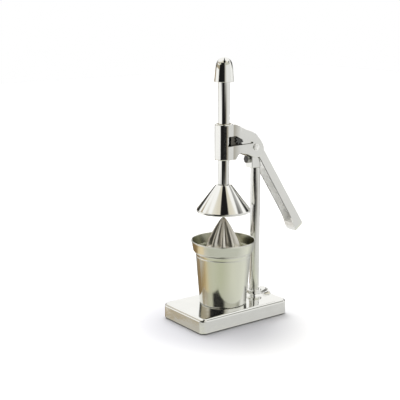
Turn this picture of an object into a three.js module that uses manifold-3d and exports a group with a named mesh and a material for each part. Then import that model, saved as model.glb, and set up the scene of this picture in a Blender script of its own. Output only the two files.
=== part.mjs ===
// Lever citrus juice press.
// Millimetres, +Z up. The origin lies on the ram's axis, on the surface that the press stands on.
// +Y points back to the column and the lever, +X to the side of the pivot bolt's head.
// At rest the lever hangs part of the way down and the cone waits above the reamer.
import * as THREE from 'three';
import * as BufferGeometryUtils from 'three/addons/utils/BufferGeometryUtils.js';
import Module from 'manifold-3d';

const wasm = await Module();
wasm.setup();

// Clearances that the fits share
const gap = { seat: 0.3, running: 0.3, side: 0.35, loose: 0.7 };
// How far a cutting solid runs past the face that it opens
const overrun = 1;
// Number of sides on round pieces, large and small
const roundSides = 48;
const smallSides = 20;
const archSides = 72;

// Driving dimensions
const mat = { thickness: 1.6, inset: 3, cornerRadius: 7 };
const base = {
  length: 175, width: 108, height: 23.5, backMargin: 27.5, cornerRadius: 10, edgeRadius: 5,
  wall: 4, top: 4.5, plateRecess: 0.6,
};
const basePlate = { thickness: 1.5 };
const baseBoss = { radius: 5, inset: 11 };
const baseScrew = { headRadius: 3.2, headHeight: 1.3, shankRadius: 1.5, length: 8 };
const foot = {
  bossRadius: 12.5, bossHeight: 9, bossEdge: 3, fairingHalfWidth: 17.5, fairingHeight: 9.5,
  fairingStart: 12, endGap: 3,
};
const column = { radius: 8, y: 65.5, shoulderZ: 241, topSpigotRadius: 6, topSpigotLength: 26, boltDepth: 24 };
const columnBolt = { shankRadius: 4, headRadius: 7.5, headHeight: 5.3 };
const columnWasher = { radius: 12, thickness: 2 };
const columnBoss = { radius: 15 };

const ram = { radius: 9, coneSeatZ: 220, topZ: 381, spigotRadius: 5, lowerSpigot: 19, upperSpigot: 22 };
const cap = { radius: 15.6, height: 37.5, edge: 1 };
const sleeve = { radius: 14.5, bottomZ: 259.5, topZ: 316, boreRadius: 11.6, edge: 1.2 };
const bush = { length: 11, recess: 0.5 };

const pivot = { y: 54, z: 276, radius: 4, headRadius: 5.4, headHeight: 3.6, nutRadius: 6.5, nutHeight: 5 };
const pivotWasher = { radius: 7, thickness: 1.2 };

// Half widths across the head, from the middle outwards
const halfWidth = {
  gear: 4, gearSlot: 4.4, core: 8.9, leverInner: 9.25, leverOuter: 11.45, cheekInner: 11.8,
};

// Gear train: lever ears and pinions, then rack gear and rack
const tooth = { pressureAngle: 25, addendumShare: 0.7, dedendumShare: 0.92, thinning: 0.16 };
const earGear = { module: 1.6, radius: 28 };
const pinion = { module: 1.6, teeth: 8 };
const rackGear = { module: 2.5, teeth: 12 };
const gearShaft = { radius: 3 };
const meshGap = 0.08;

const lever = {
  restAngle: -57, length: 181.5, frontOffset: -1, backOffset: 12.5, endBackOffset: 14, heelOffset: -5,
  heelLength: 34, endBlock: 20, wall: 2.2, eyeRadius: 13.5, webStart: 56, endRadius: 9.2, cornerRadius: 8,
  edgeRadius: 1.8,
  upTravel: 31, downTravel: 22.5,
};
const lug = { halfWidth: 8.5, frontY: 51, bottomZ: 241.3, backRadius: 8.6 };
const clampBolt = { z: 255, shankRadius: 3, headRadius: 6.6, headHeight: 5.6 };
const hood = { roof: 2.6, endRadius: 17.5, slotY: 30, edgeRadius: 2 };
const headWindow = {
  frontY: -3, lowZ: 281, highZ: 297, corner: 2.5, narrowY: 25, tipY: 48, tipZ: 283.5, tipHalf: 1.2,
};

const cone = { topRadius: 12.3, rimRadius: 43, height: 40, lip: 3.4, wall: 1.8 };
const coneBoss = { radius: 13, topRadius: 10.2, height: 8 };
const coneNut = { radius: 8, height: 7 };

const cup = {
  bottomRadius: 37.8, topRadius: 44.8, height: 86, wall: 1.2, rimRadius: 46, rimHeight: 2.4,
  beadDrop: 8, bead: 0.4, floorEdge: 2.5,
};
const strainer = {
  rimRadius: 52, rimRoll: 2, shoulderRadius: 48.2, depth: 18, wall: 1.2, skirtDepth: 6.5, skirtGap: 0.6,
  slotCount: 28, slotWidth: 2.4, slotEdge: 1.4,
};
const reamer = {
  baseRadius: 30.5, height: 53, wall: 1.3, flutes: 9, fluteShare: 0.3, bossRadius: 3.6, stepsPerFlute: 4,
};
const reamerScrew = { headRadius: 5, headHeight: 1.6, shankRadius: 1.9, length: 8 };

// Heights and places that follow from the driving dimensions
const baseCentreY = column.y + base.backMargin - base.length / 2;
const baseBottomZ = mat.thickness + gap.seat;
const baseTopZ = baseBottomZ + base.height;
const cupBottomZ = baseTopZ + gap.seat;
const cupTopZ = cupBottomZ + cup.height;
const strainerLedgeZ = cupTopZ + gap.seat;
const strainerTopZ = strainerLedgeZ + strainer.depth;
const strainerFloorTopZ = strainerLedgeZ + strainer.wall;
const reamerBottomZ = strainerFloorTopZ + gap.seat;
const coneTopZ = ram.coneSeatZ - gap.seat;
const pinionRadius = pinion.module * pinion.teeth / 2;
const pinionTip = pinionRadius + pinion.module * tooth.addendumShare;
const rackGearRadius = rackGear.module * rackGear.teeth / 2;
const rackGearTip = rackGearRadius + rackGear.module * tooth.addendumShare;
const rackPitchY = ram.radius - rackGear.module * tooth.addendumShare;
const gearCentreY = rackPitchY + rackGearRadius + meshGap;
const gearCentreDistance = earGear.radius + pinionRadius + meshGap;
const gearCentreZ = pivot.z + Math.sqrt(gearCentreDistance ** 2 - (pivot.y - gearCentreY) ** 2);
const ramPerRadian = earGear.radius * rackGearRadius / pinionRadius;
const earTip = earGear.radius + earGear.module * tooth.addendumShare;

const degrees = Math.PI / 180;

// Turns a closed geometry into a solid that can be joined and cut
function solid(geometry) {
  const bare = geometry.clone();
  bare.deleteAttribute('normal');
  bare.deleteAttribute('uv');
  const merged = BufferGeometryUtils.mergeVertices(bare, 1e-5);
  return new wasm.Manifold(new wasm.Mesh({
    numProp: 3,
    vertProperties: new Float32Array(merged.attributes.position.array),
    triVerts: new Uint32Array(merged.index.array),
  }));
}

function geometryOf(body) {
  const result = body.getMesh();
  const geometry = new THREE.BufferGeometry();
  geometry.setAttribute('position', new THREE.BufferAttribute(new Float32Array(result.vertProperties), 3));
  geometry.setIndex(new THREE.BufferAttribute(new Uint32Array(result.triVerts), 1));
  return geometry;
}

function union(...bodies) {
  return bodies.reduce((sum, body) => sum.add(body));
}

// A box given by its low and high corners
function block(low, high) {
  const size = high.map((value, i) => value - low[i]);
  const geometry = new THREE.BoxGeometry(...size);
  geometry.translate(...low.map((value, i) => value + size[i] / 2));
  return solid(geometry);
}

// A round bar between two places on an axis that runs along x, y or z through a centre
function bar(axis, centre, from, to, radius, sides = smallSides) {
  const geometry = new THREE.CylinderGeometry(radius, radius, to - from, sides);
  const middle = (from + to) / 2;
  if (axis === 'x') {
    geometry.rotateZ(-Math.PI / 2);
    geometry.translate(middle, centre[0], centre[1]);
  } else if (axis === 'y') {
    geometry.translate(centre[0], middle, centre[1]);
  } else {
    geometry.rotateX(Math.PI / 2);
    geometry.translate(centre[0], centre[1], middle);
  }
  return solid(geometry);
}

// A turned solid about the vertical axis from [radius, height] points, both ends on the axis or closed
function turned(profile, sides = roundSides, x = 0, y = 0) {
  const geometry = new THREE.LatheGeometry(profile.map(([r, z]) => new THREE.Vector2(r, z)), sides);
  geometry.rotateX(Math.PI / 2);
  geometry.translate(x, y, 0);
  const position = geometry.attributes.position;
  for (let i = 0; i < position.count; i += 1) {
    const onAxis = Math.abs(position.getX(i) - x) < 1e-9 && Math.abs(position.getY(i) - y) < 1e-9;
    if (onAxis) position.setXY(i, x, y);
  }
  return solid(geometry);
}

// A ring or tube about the vertical axis
function ring(inner, outer, low, high, sides = roundSides, y = 0) {
  return turned([[inner, low], [outer, low], [outer, high], [inner, high], [inner, low]], sides, 0, y);
}

function shapeOf(points) {
  return new THREE.Shape(points.map(([a, b]) => new THREE.Vector2(a, b)));
}

// An outline in the YZ plane pushed along X from a given place
function pushedX(shape, from, options) {
  const geometry = new THREE.ExtrudeGeometry(shape, options);
  geometry.applyMatrix4(new THREE.Matrix4().makeBasis(
    new THREE.Vector3(0, 1, 0), new THREE.Vector3(0, 0, 1), new THREE.Vector3(1, 0, 0)));
  geometry.translate(from, 0, 0);
  return solid(geometry);
}

function plateX(shape, from, to, curveSegments = 12) {
  return pushedX(shape, from, { depth: to - from, bevelEnabled: false, curveSegments });
}

// The same to both sides of the middle plane, with its outer edges rounded off inwards
function roundedPlateX(points, half, radius, segments = 2) {
  return pushedX(shapeOf(points), radius - half, {
    depth: 2 * (half - radius), bevelEnabled: true, bevelThickness: radius, bevelSize: radius,
    bevelOffset: -radius, bevelSegments: segments,
  });
}

function discShape(y, z, radius) {
  const shape = new THREE.Shape();
  shape.absarc(y, z, radius, 0, 2 * Math.PI, false);
  return shape;
}

function hexPrism(axis, centre, from, to, radius) {
  return bar(axis, centre, from, to, radius, 6);
}

function metal(color, roughness, metalness = 1) {
  return new THREE.MeshStandardMaterial({ color, roughness, metalness });
}

const materials = {
  chrome: () => metal(0xd9dad6, 0.08),
  polished: () => metal(0xcfcfc8, 0.14),
  steel: () => metal(0x9a9c9c, 0.35),
  darkSteel: () => metal(0x4a4b4d, 0.45),
  brass: () => metal(0xb8923e, 0.3),
  rubber: () => metal(0x1c1c1c, 0.85, 0),
};

const press = new THREE.Group();

function addPiece(name, body, material) {
  const mesh = new THREE.Mesh(geometryOf(body), material());
  mesh.name = name;
  press.add(mesh);
}

// Rounded rectangle in the XY plane, centred on the base
function roundedRectangle(width, length, radius) {
  const x = width / 2;
  const y = length / 2;
  const shape = new THREE.Shape();
  shape.absarc(x - radius, y - radius, radius, 0, Math.PI / 2, false);
  shape.absarc(-x + radius, y - radius, radius, Math.PI / 2, Math.PI, false);
  shape.absarc(-x + radius, -y + radius, radius, Math.PI, 1.5 * Math.PI, false);
  shape.absarc(x - radius, -y + radius, radius, 1.5 * Math.PI, 2 * Math.PI, false);
  return shape;
}

function plateZ(shape, low, high) {
  const options = { depth: high - low, bevelEnabled: false, curveSegments: 5 };
  const geometry = new THREE.ExtrudeGeometry(shape, options);
  geometry.translate(0, baseCentreY, low);
  return solid(geometry);
}

// Share of the foot boss's edge at the middle of its round
const bossEdgeShare = 0.3;

// Base
const bossPlaces = [[1, 1], [-1, 1], [-1, -1], [1, -1]].map(([sx, sy]) => [
  sx * (base.width / 2 - baseBoss.inset), baseCentreY + sy * (base.length / 2 - baseBoss.inset)]);
const basePlateLowZ = baseBottomZ + base.plateRecess;
const basePlateHighZ = basePlateLowZ + basePlate.thickness;
const baseInsideZ = baseTopZ - base.top;

function makeBaseCasting() {
  const e = base.edgeRadius;
  const geometry = new THREE.ExtrudeGeometry(
    roundedRectangle(base.width - 2 * e, base.length - 2 * e, base.cornerRadius - e), {
      depth: base.height, bevelEnabled: true, bevelThickness: e, bevelSize: e, bevelSegments: 3,
      curveSegments: 4,
    });
  geometry.translate(0, baseCentreY, baseTopZ - e - base.height);
  const far = base.length;
  let body = solid(geometry).subtract(block([-far, -far, -far], [far, far, baseBottomZ]));
  const pocket = plateZ(
    roundedRectangle(base.width - 2 * base.wall, base.length - 2 * base.wall, base.cornerRadius - base.wall),
    baseBottomZ - overrun, baseInsideZ);
  body = body.subtract(pocket);
  for (const [x, y] of bossPlaces) {
    body = body.add(bar('z', [x, y], basePlateHighZ + gap.seat, baseInsideZ + overrun, baseBoss.radius));
  }
  body = body.add(bar('z', [0, column.y], basePlateHighZ + columnWasher.thickness + columnBolt.headHeight
    + gap.loose, baseInsideZ + overrun, columnBoss.radius));
  // Arched fairing that widens and rises from the column to the base's rounded back edge
  const half = foot.fairingHalfWidth;
  const archRadius = (half ** 2 + foot.fairingHeight ** 2) / (2 * foot.fairingHeight);
  const backY = baseCentreY + base.length / 2 - foot.endGap;
  const frustum = new THREE.CylinderGeometry(archRadius, foot.fairingStart, backY - column.y, archSides);
  frustum.translate(0, (backY + column.y) / 2, baseTopZ + foot.fairingHeight - archRadius);
  const fairing = solid(frustum).intersect(block(
    [-half, column.y - overrun, baseTopZ - overrun], [half, backY + overrun, baseTopZ + half]));
  const edge = foot.bossEdge;
  const bossTop = baseTopZ + foot.bossHeight;
  const boss = turned([
    [0, baseTopZ - overrun], [foot.bossRadius + edge, baseTopZ - overrun], [foot.bossRadius + edge, baseTopZ],
    [foot.bossRadius, baseTopZ + edge], [foot.bossRadius, bossTop - edge],
    [foot.bossRadius - edge * bossEdgeShare, bossTop - edge * bossEdgeShare],
    [foot.bossRadius - edge, bossTop], [0, bossTop]], roundSides, 0, column.y);
  body = union(body, fairing, boss);
  // Socket for the column, and the hole for its bolt
  const place = [0, column.y];
  body = body.subtract(bar('z', place, baseTopZ, bossTop + overrun, column.radius + gap.running, roundSides));
  const boltHole = columnBolt.shankRadius + gap.running;
  body = body.subtract(bar('z', place, baseBottomZ, baseTopZ + overrun, boltHole));
  for (const [x, y] of bossPlaces) {
    body = body.subtract(bar('z', [x, y], basePlateHighZ, basePlateHighZ + baseScrew.length,
      baseScrew.shankRadius + gap.running));
  }
  return body;
}
addPiece('base_casting', makeBaseCasting(), materials.chrome);

const matShape = roundedRectangle(base.width - 2 * mat.inset, base.length - 2 * mat.inset, mat.cornerRadius);
addPiece('base_mat', plateZ(matShape, 0, mat.thickness), materials.rubber);

function makeBasePlate() {
  const inset = base.wall + gap.seat;
  const outline = roundedRectangle(
    base.width - 2 * inset, base.length - 2 * inset, base.cornerRadius - base.wall);
  let body = plateZ(outline, basePlateLowZ, basePlateHighZ);
  for (const [x, y] of bossPlaces) {
    body = body.subtract(bar('z', [x, y], basePlateLowZ - overrun, basePlateHighZ + overrun,
      baseScrew.shankRadius + gap.running));
  }
  return body;
}
addPiece('base_plate', makeBasePlate(), materials.steel);

// The plate's screws have low heads that sit between the plate and the mat
bossPlaces.forEach(([x, y], i) => {
  const headTop = basePlateLowZ - gap.seat / 2;
  const headBottom = mat.thickness + gap.seat / 2;
  addPiece(`base_screw_${i + 1}`, union(
    bar('z', [x, y], headBottom, headTop, baseScrew.headRadius),
    bar('z', [x, y], headTop - gap.seat / 2, headTop + baseScrew.length, baseScrew.shankRadius)),
  materials.steel);
});

// Column with a plain lower end on the base and a thinner spigot in the head
const columnPlace = [0, column.y];
const columnFootZ = baseTopZ + gap.seat;
const columnTopZ = column.shoulderZ + column.topSpigotLength;
const columnHoleTopZ = columnFootZ + column.boltDepth;
addPiece('column', turned([
  [0, columnFootZ], [column.radius, columnFootZ], [column.radius, column.shoulderZ],
  [column.topSpigotRadius, column.shoulderZ], [column.topSpigotRadius, columnTopZ], [0, columnTopZ]],
roundSides, 0, column.y).subtract(
  bar('z', columnPlace, columnFootZ - overrun, columnHoleTopZ, columnBolt.shankRadius + gap.running),
), materials.chrome);

const boltHeadLowZ = basePlateHighZ + gap.loose / 2;
const boltHeadHighZ = basePlateHighZ + columnBolt.headHeight + gap.loose / 2;
addPiece('column_bolt', union(
  hexPrism('z', columnPlace, boltHeadLowZ, boltHeadHighZ, columnBolt.headRadius),
  bar('z', columnPlace, boltHeadHighZ - gap.seat, columnHoleTopZ - gap.loose, columnBolt.shankRadius)),
materials.steel);
addPiece('column_washer', ring(columnBolt.shankRadius + gap.running, columnWasher.radius,
  boltHeadHighZ + gap.seat, boltHeadHighZ + columnWasher.thickness + gap.loose / 2 - gap.seat,
  smallSides, column.y), materials.steel);

// Outline of one gear tooth side: distance from the tooth's middle line, as an angle, at a given radius
function toothHalfAngle(radius, pitchRadius, module) {
  const alpha = tooth.pressureAngle * degrees;
  const baseRadius = pitchRadius * Math.cos(alpha);
  const involute = (angle) => Math.tan(angle) - angle;
  const atPitch = (Math.PI * module / 2 - 2 * tooth.thinning) / (2 * pitchRadius);
  if (radius <= baseRadius) return atPitch + involute(alpha);
  return atPitch + involute(alpha) - involute(Math.acos(baseRadius / radius));
}

// Points of a run of teeth, counterclockwise, from the first tooth's root to the last one's
function toothPoints(centre, pitchRadius, module, angles) {
  const root = pitchRadius - module * tooth.dedendumShare;
  const tip = pitchRadius + module * tooth.addendumShare;
  const steps = 4;
  const points = [];
  for (const angle of angles) {
    const flank = [];
    for (let i = 0; i <= steps; i += 1) {
      const radius = root + (tip - root) * i / steps;
      flank.push([radius, toothHalfAngle(radius, pitchRadius, module)]);
    }
    for (const [radius, half] of flank) {
      points.push([centre[0] + radius * Math.cos(angle - half), centre[1] + radius * Math.sin(angle - half)]);
    }
    for (const [radius, half] of flank.slice().reverse()) {
      points.push([centre[0] + radius * Math.cos(angle + half), centre[1] + radius * Math.sin(angle + half)]);
    }
  }
  return points;
}

function fullGearShape(centre, pitchRadius, module, teeth, firstAngle) {
  const angles = Array.from({ length: teeth }, (_, i) => firstAngle + i * 2 * Math.PI / teeth);
  return shapeOf(toothPoints(centre, pitchRadius, module, angles));
}

const gearCentre = [gearCentreY, gearCentreZ];
const pivotPlace = [pivot.y, pivot.z];
const towardPivot = Math.atan2(pivot.z - gearCentreZ, pivot.y - gearCentreY);
const shaftHole = () => bar(
  'x', gearCentre, -sleeve.radius, sleeve.radius, gearShaft.radius + gap.running);

// Gear train on one shaft: the rack gear in the middle and a pinion beside each toothed ear
const rackGearShape = fullGearShape(gearCentre, rackGearRadius, rackGear.module, rackGear.teeth, Math.PI);
addPiece('rack_gear', plateX(rackGearShape, -halfWidth.gear, halfWidth.gear).subtract(shaftHole()),
  materials.darkSteel);
const pinionInner = halfWidth.core + gap.running;
const pinionOuter = halfWidth.cheekInner - gap.running;
for (const [side, sign] of [['right', 1], ['left', -1]]) {
  const ends = [sign * pinionInner, sign * pinionOuter].sort((a, b) => a - b);
  addPiece(`pinion_${side}`, plateX(
    fullGearShape(gearCentre, pinionRadius, pinion.module, pinion.teeth, towardPivot), ...ends)
    .subtract(shaftHole()), materials.darkSteel);
}
addPiece('gear_shaft', bar('x', gearCentre, -pinionOuter, pinionOuter, gearShaft.radius), materials.steel);

// Lever, drawn along its own line: s runs from the pivot to the grip's end, n is square to it, to the rear
const leverAngle = lever.restAngle * degrees;
const along = [Math.cos(leverAngle), Math.sin(leverAngle)];
const across = [-Math.sin(leverAngle), Math.cos(leverAngle)];
const leverPoint = (s, n) => [
  pivot.y + s * along[0] + n * across[0],
  pivot.z + s * along[1] + n * across[1],
];

function leverSideShape() {
  const endR = lever.endRadius;
  const turn = 5;
  const points = [
    leverPoint(0, lever.frontOffset), leverPoint(lever.length - lever.heelLength, lever.frontOffset)];
  const corner = (n, from) => {
    for (let i = 0; i <= turn; i += 1) {
      const a = from + (Math.PI / 2) * i / turn;
      points.push(leverPoint(lever.length - endR + endR * Math.cos(a), n + endR * Math.sin(a)));
    }
  };
  corner(lever.heelOffset + endR, -Math.PI / 2);
  corner(lever.endBackOffset - endR, 0);
  points.push(leverPoint(0, lever.backOffset));
  return points;
}

// Everything between the lever's outer faces, with the grip's end corners rounded as seen from the front
function gripSolid() {
  const half = halfWidth.leverOuter;
  const r = lever.cornerRadius;
  const shape = new THREE.Shape();
  shape.moveTo(-half, -lever.length);
  shape.lineTo(half, -lever.length);
  shape.absarc(half - r, lever.length - r, r, 0, Math.PI / 2, false);
  shape.absarc(r - half, lever.length - r, r, Math.PI / 2, Math.PI, false);
  const geometry = new THREE.ExtrudeGeometry(shape, {
    depth: 2 * lever.length, bevelEnabled: false, curveSegments: 5,
  });
  geometry.translate(0, 0, -lever.length);
  geometry.applyMatrix4(new THREE.Matrix4().makeBasis(
    new THREE.Vector3(1, 0, 0), new THREE.Vector3(0, ...along), new THREE.Vector3(0, ...across)));
  geometry.translate(0, pivot.y, pivot.z);
  return solid(geometry);
}

// The hollow between the walls: open at the front, and open at the back above the web
function leverChannelShape() {
  const endS = lever.length - lever.endBlock;
  const clear = lever.eyeRadius + overrun;
  const spread = lever.endBackOffset - lever.backOffset;
  const backAt = (s) => lever.backOffset + spread * s / lever.length - lever.wall;
  return [
    leverPoint(-clear, -clear), leverPoint(endS, -clear), leverPoint(endS, backAt(endS)),
    leverPoint(lever.webStart, backAt(lever.webStart)), leverPoint(lever.webStart, clear + lever.backOffset),
    leverPoint(-clear, clear + lever.backOffset)];
}

// Where the ear's round eye starts and ends, as shares of the sweep that has no teeth
const eyeSweepShares = [0.12, 0.88];

// Toothed ear: teeth from just above the mesh point at one end of the swing to just below it at the other
function earShape() {
  const pitchAngle = Math.PI * earGear.module / earGear.radius;
  const meshAngle = towardPivot + Math.PI;
  const upTeeth = Math.ceil(lever.upTravel * degrees / pitchAngle);
  const downTeeth = Math.ceil(lever.downTravel * degrees / pitchAngle);
  const angles = [];
  for (let i = -upTeeth; i < downTeeth; i += 1) angles.push(meshAngle + i * pitchAngle + pitchAngle / 2);
  const points = toothPoints(pivotPlace, earGear.radius, earGear.module, angles);
  const eyeSteps = 10;
  const root = earGear.radius - earGear.module * tooth.dedendumShare;
  const lastAngle = angles[angles.length - 1] + pitchAngle / 2;
  const firstAngle = angles[0] - pitchAngle / 2;
  points.push([pivot.y + root * Math.cos(lastAngle), pivot.z + root * Math.sin(lastAngle)]);
  const sweep = 2 * Math.PI - (lastAngle - firstAngle);
  for (let i = 0; i <= eyeSteps; i += 1) {
    const share = eyeSweepShares[0] + (eyeSweepShares[1] - eyeSweepShares[0]) * i / eyeSteps;
    const a = lastAngle + sweep * share;
    points.push([pivot.y + lever.eyeRadius * Math.cos(a), pivot.z + lever.eyeRadius * Math.sin(a)]);
  }
  points.push([pivot.y + root * Math.cos(firstAngle), pivot.z + root * Math.sin(firstAngle)]);
  return points;
}

function makeLever() {
  const outer = halfWidth.leverOuter;
  const inner = halfWidth.leverInner;
  const ear = shapeOf(earShape());
  return roundedPlateX(leverSideShape(), outer, lever.edgeRadius)
    .intersect(gripSolid())
    .subtract(plateX(shapeOf(leverChannelShape()), -inner, inner))
    .add(plateX(ear, inner, outer))
    .add(plateX(ear, -outer, -inner))
    .subtract(bar('x', pivotPlace, -outer - overrun, outer + overrun, pivot.radius + gap.running));
}
addPiece('lever', makeLever(), materials.chrome);

// Head casting: a sleeve for the ram, a core that carries the gears and the column's lug, and two outer
// cheeks. The lever's ears turn in the slots between the core and the cheeks.
// Shares of the pivot's distance behind the ram, and of the sleeve's height above the pivot.
const hoodShares = [
  [0.25, 0.975], [0.63, 0.75], [0.852, 0.64], [1, 0.53], [1.13, 0.35], [1.24, 0.163], [1.315, -0.025],
  [1.318, -0.188], [1.26, -0.325], [1.148, -0.41], [1, -0.438], [0.852, -0.363], [0.704, -0.263],
  [0.426, -0.175], [0.333, -0.263], [0.263, -0.405],
];
const hoodPoint = ([y, z]) => [y * pivot.y, pivot.z + z * (sleeve.topZ - pivot.z)];

function hoodOutline() {
  const points = hoodShares.map(hoodPoint);
  return [[0, points[0][1]], ...points, [0, points[points.length - 1][1]]];
}

function headSlotShape() {
  const roofFront = hoodPoint(hoodShares[0]);
  const roofBack = hoodPoint(hoodShares[1]);
  const roofSlope = (roofBack[1] - roofFront[1]) / (roofBack[0] - roofFront[0]);
  const roofAt = (y) => roofFront[1] + roofSlope * (y - roofFront[0]) - hood.roof;
  const frontY = pivot.y - earTip - gap.loose;
  const far = lever.length;
  return shapeOf([
    [frontY, pivot.z - far], [frontY, roofAt(frontY)], [hood.slotY, roofAt(hood.slotY)],
    [hood.slotY, pivot.z + far], [pivot.y + far, pivot.z + far], [pivot.y + far, pivot.z - far]]);
}

function windowShape() {
  const w = headWindow;
  const middle = (w.lowZ + w.highZ) / 2;
  const shape = new THREE.Shape();
  shape.moveTo(w.frontY, w.lowZ + w.corner);
  shape.quadraticCurveTo(w.frontY, w.lowZ, w.frontY + w.corner, w.lowZ);
  shape.quadraticCurveTo(w.narrowY, w.lowZ + w.corner / 2, w.tipY, w.tipZ - w.tipHalf);
  shape.quadraticCurveTo(w.tipY + 2 * w.tipHalf, w.tipZ, w.tipY, w.tipZ + w.tipHalf);
  shape.quadraticCurveTo(w.narrowY, middle + w.tipHalf, w.frontY + w.corner, w.highZ);
  shape.quadraticCurveTo(w.frontY, w.highZ, w.frontY, w.highZ - w.corner);
  return shape;
}

function makeHead() {
  const half = sleeve.radius;
  const e = sleeve.edge;
  const lugTopZ = columnTopZ + gap.loose;
  const barrel = turned([
    [0, sleeve.bottomZ], [half - e, sleeve.bottomZ], [half, sleeve.bottomZ + e], [half, sleeve.topZ - e],
    [half - e, sleeve.topZ], [0, sleeve.topZ]]);
  let body = union(
    barrel,
    roundedPlateX(hoodOutline(), half, hood.edgeRadius),
    block([-lug.halfWidth, lug.frontY, lug.bottomZ], [lug.halfWidth, column.y, lugTopZ]),
    bar('z', [0, column.y], lug.bottomZ, lugTopZ, lug.backRadius, roundSides));
  // Slots for the lever's ears and the pinions
  for (const sign of [1, -1]) {
    const ends = [sign * halfWidth.core, sign * halfWidth.cheekInner].sort((a, b) => a - b);
    body = body.subtract(plateX(headSlotShape(), ...ends));
    body = body.subtract(plateX(discShape(...gearCentre, pinionTip + gap.loose), ...ends));
    const windowEnds = [sign * halfWidth.core, sign * (half + overrun)].sort((a, b) => a - b);
    body = body.subtract(plateX(windowShape(), ...windowEnds, 6));
  }
  // Pocket for the rack gear, open to the ram and at the bottom
  const pocketRadius = rackGearTip + gap.loose;
  const pocket = discShape(...gearCentre, pocketRadius);
  body = body.subtract(plateX(pocket, -halfWidth.gearSlot, halfWidth.gearSlot, 24));
  body = body.subtract(block(
    [-halfWidth.gearSlot, sleeve.radius + overrun, lug.bottomZ],
    [halfWidth.gearSlot, gearCentreY + pocketRadius, gearCentreZ]));
  // Bores: ram, pivot bolt, gear shaft, column and clamp bolt
  const bores = [
    bar('z', [0, 0], sleeve.bottomZ - overrun, sleeve.topZ + overrun, sleeve.boreRadius, roundSides),
    bar('x', pivotPlace, -half - overrun, half + overrun, pivot.radius + gap.running),
    bar('x', gearCentre, -halfWidth.core - overrun, halfWidth.core + overrun, gearShaft.radius + gap.running),
    bar('z', columnPlace, lug.bottomZ - overrun, columnTopZ + gap.seat, column.topSpigotRadius + gap.running),
    bar('y', [0, clampBolt.z], lug.frontY - overrun, column.y, clampBolt.shankRadius + gap.running),
    bar('y', [0, clampBolt.z], pivot.y - hood.endRadius, lug.frontY, clampBolt.headRadius + gap.loose),
  ];
  for (const bore of bores) body = body.subtract(bore);
  return body;
}
addPiece('head_casting', makeHead(), materials.chrome);

const clampPlace = [0, clampBolt.z];
const clampHeadBackY = lug.frontY - gap.seat;
addPiece('head_clamp_bolt', union(
  hexPrism('y', clampPlace, clampHeadBackY - clampBolt.headHeight, clampHeadBackY, clampBolt.headRadius),
  bar('y', clampPlace, clampHeadBackY - gap.seat, column.y - column.topSpigotRadius - gap.seat,
    clampBolt.shankRadius)), materials.steel);

// Guide bushes at the sleeve's ends
const bushOuter = sleeve.boreRadius - gap.seat;
const bushInner = ram.radius + gap.running;
addPiece('bush_lower', ring(bushInner, bushOuter, sleeve.bottomZ + bush.recess,
  sleeve.bottomZ + bush.recess + bush.length), materials.brass);
addPiece('bush_upper', ring(bushInner, bushOuter, sleeve.topZ - bush.recess - bush.length,
  sleeve.topZ - bush.recess), materials.brass);

// Pivot bolt with a domed head on the right, washer and nut on the left
function domeX(centre, faceX, radius, height) {
  const steps = 4;
  const profile = [[0, 0], [radius, 0]];
  for (let i = 1; i < steps; i += 1) {
    const a = (Math.PI / 2) * i / steps;
    profile.push([radius * Math.cos(a), height * Math.sin(a)]);
  }
  profile.push([0, height]);
  return turned(profile, smallSides).rotate([0, 90, 0]).translate([faceX, centre[0], centre[1]]);
}
const cheekFace = sleeve.radius;
const washerOuterX = cheekFace + gap.seat + pivotWasher.thickness;
const nutOuterX = washerOuterX + gap.seat + pivot.nutHeight;
addPiece('pivot_bolt', union(
  domeX(pivotPlace, cheekFace + gap.seat, pivot.headRadius, pivot.headHeight),
  bar('x', pivotPlace, -nutOuterX - overrun, cheekFace + gap.seat + overrun / 2, pivot.radius)),
materials.chrome);
const pivotHole = bar('x', pivotPlace, -nutOuterX - 2 * overrun, 0, pivot.radius + gap.running);
addPiece('pivot_washer', bar('x', pivotPlace, -washerOuterX, -cheekFace - gap.seat, pivotWasher.radius)
  .subtract(pivotHole), materials.steel);
addPiece('pivot_nut', hexPrism('x', pivotPlace, -nutOuterX, -washerOuterX - gap.seat, pivot.nutRadius)
  .subtract(pivotHole), materials.steel);

// Ram with the rack cut in its back
function makeRam() {
  const e = gap.loose;
  let body = turned([
    [0, ram.coneSeatZ - ram.lowerSpigot], [ram.spigotRadius, ram.coneSeatZ - ram.lowerSpigot],
    [ram.spigotRadius, ram.coneSeatZ], [ram.radius - e, ram.coneSeatZ], [ram.radius, ram.coneSeatZ + e],
    [ram.radius, ram.topZ], [ram.spigotRadius, ram.topZ], [ram.spigotRadius, ram.topZ + ram.upperSpigot],
    [0, ram.topZ + ram.upperSpigot]]);
  const pitch = Math.PI * rackGear.module;
  const reach = Math.sqrt(rackGearTip ** 2 - (gearCentreY - ram.radius) ** 2);
  const below = Math.ceil((ramPerRadian * lever.upTravel * degrees + reach) / pitch);
  const above = Math.ceil((ramPerRadian * lever.downTravel * degrees + reach) / pitch);
  const slope = Math.tan(tooth.pressureAngle * degrees);
  const rootY = rackPitchY - rackGear.module * tooth.dedendumShare;
  const mouthY = ram.radius + overrun;
  const halfAt = (y) => pitch / 4 + tooth.thinning + (y - rackPitchY) * slope;
  for (let i = -below; i <= above; i += 1) {
    const z = gearCentreZ + i * pitch;
    const space = shapeOf([
      [rootY, z - halfAt(rootY)], [mouthY, z - halfAt(mouthY)],
      [mouthY, z + halfAt(mouthY)], [rootY, z + halfAt(rootY)]]);
    body = body.subtract(plateX(space, -ram.radius - overrun, ram.radius + overrun));
  }
  return body;
}
addPiece('ram', makeRam(), materials.chrome);

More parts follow.
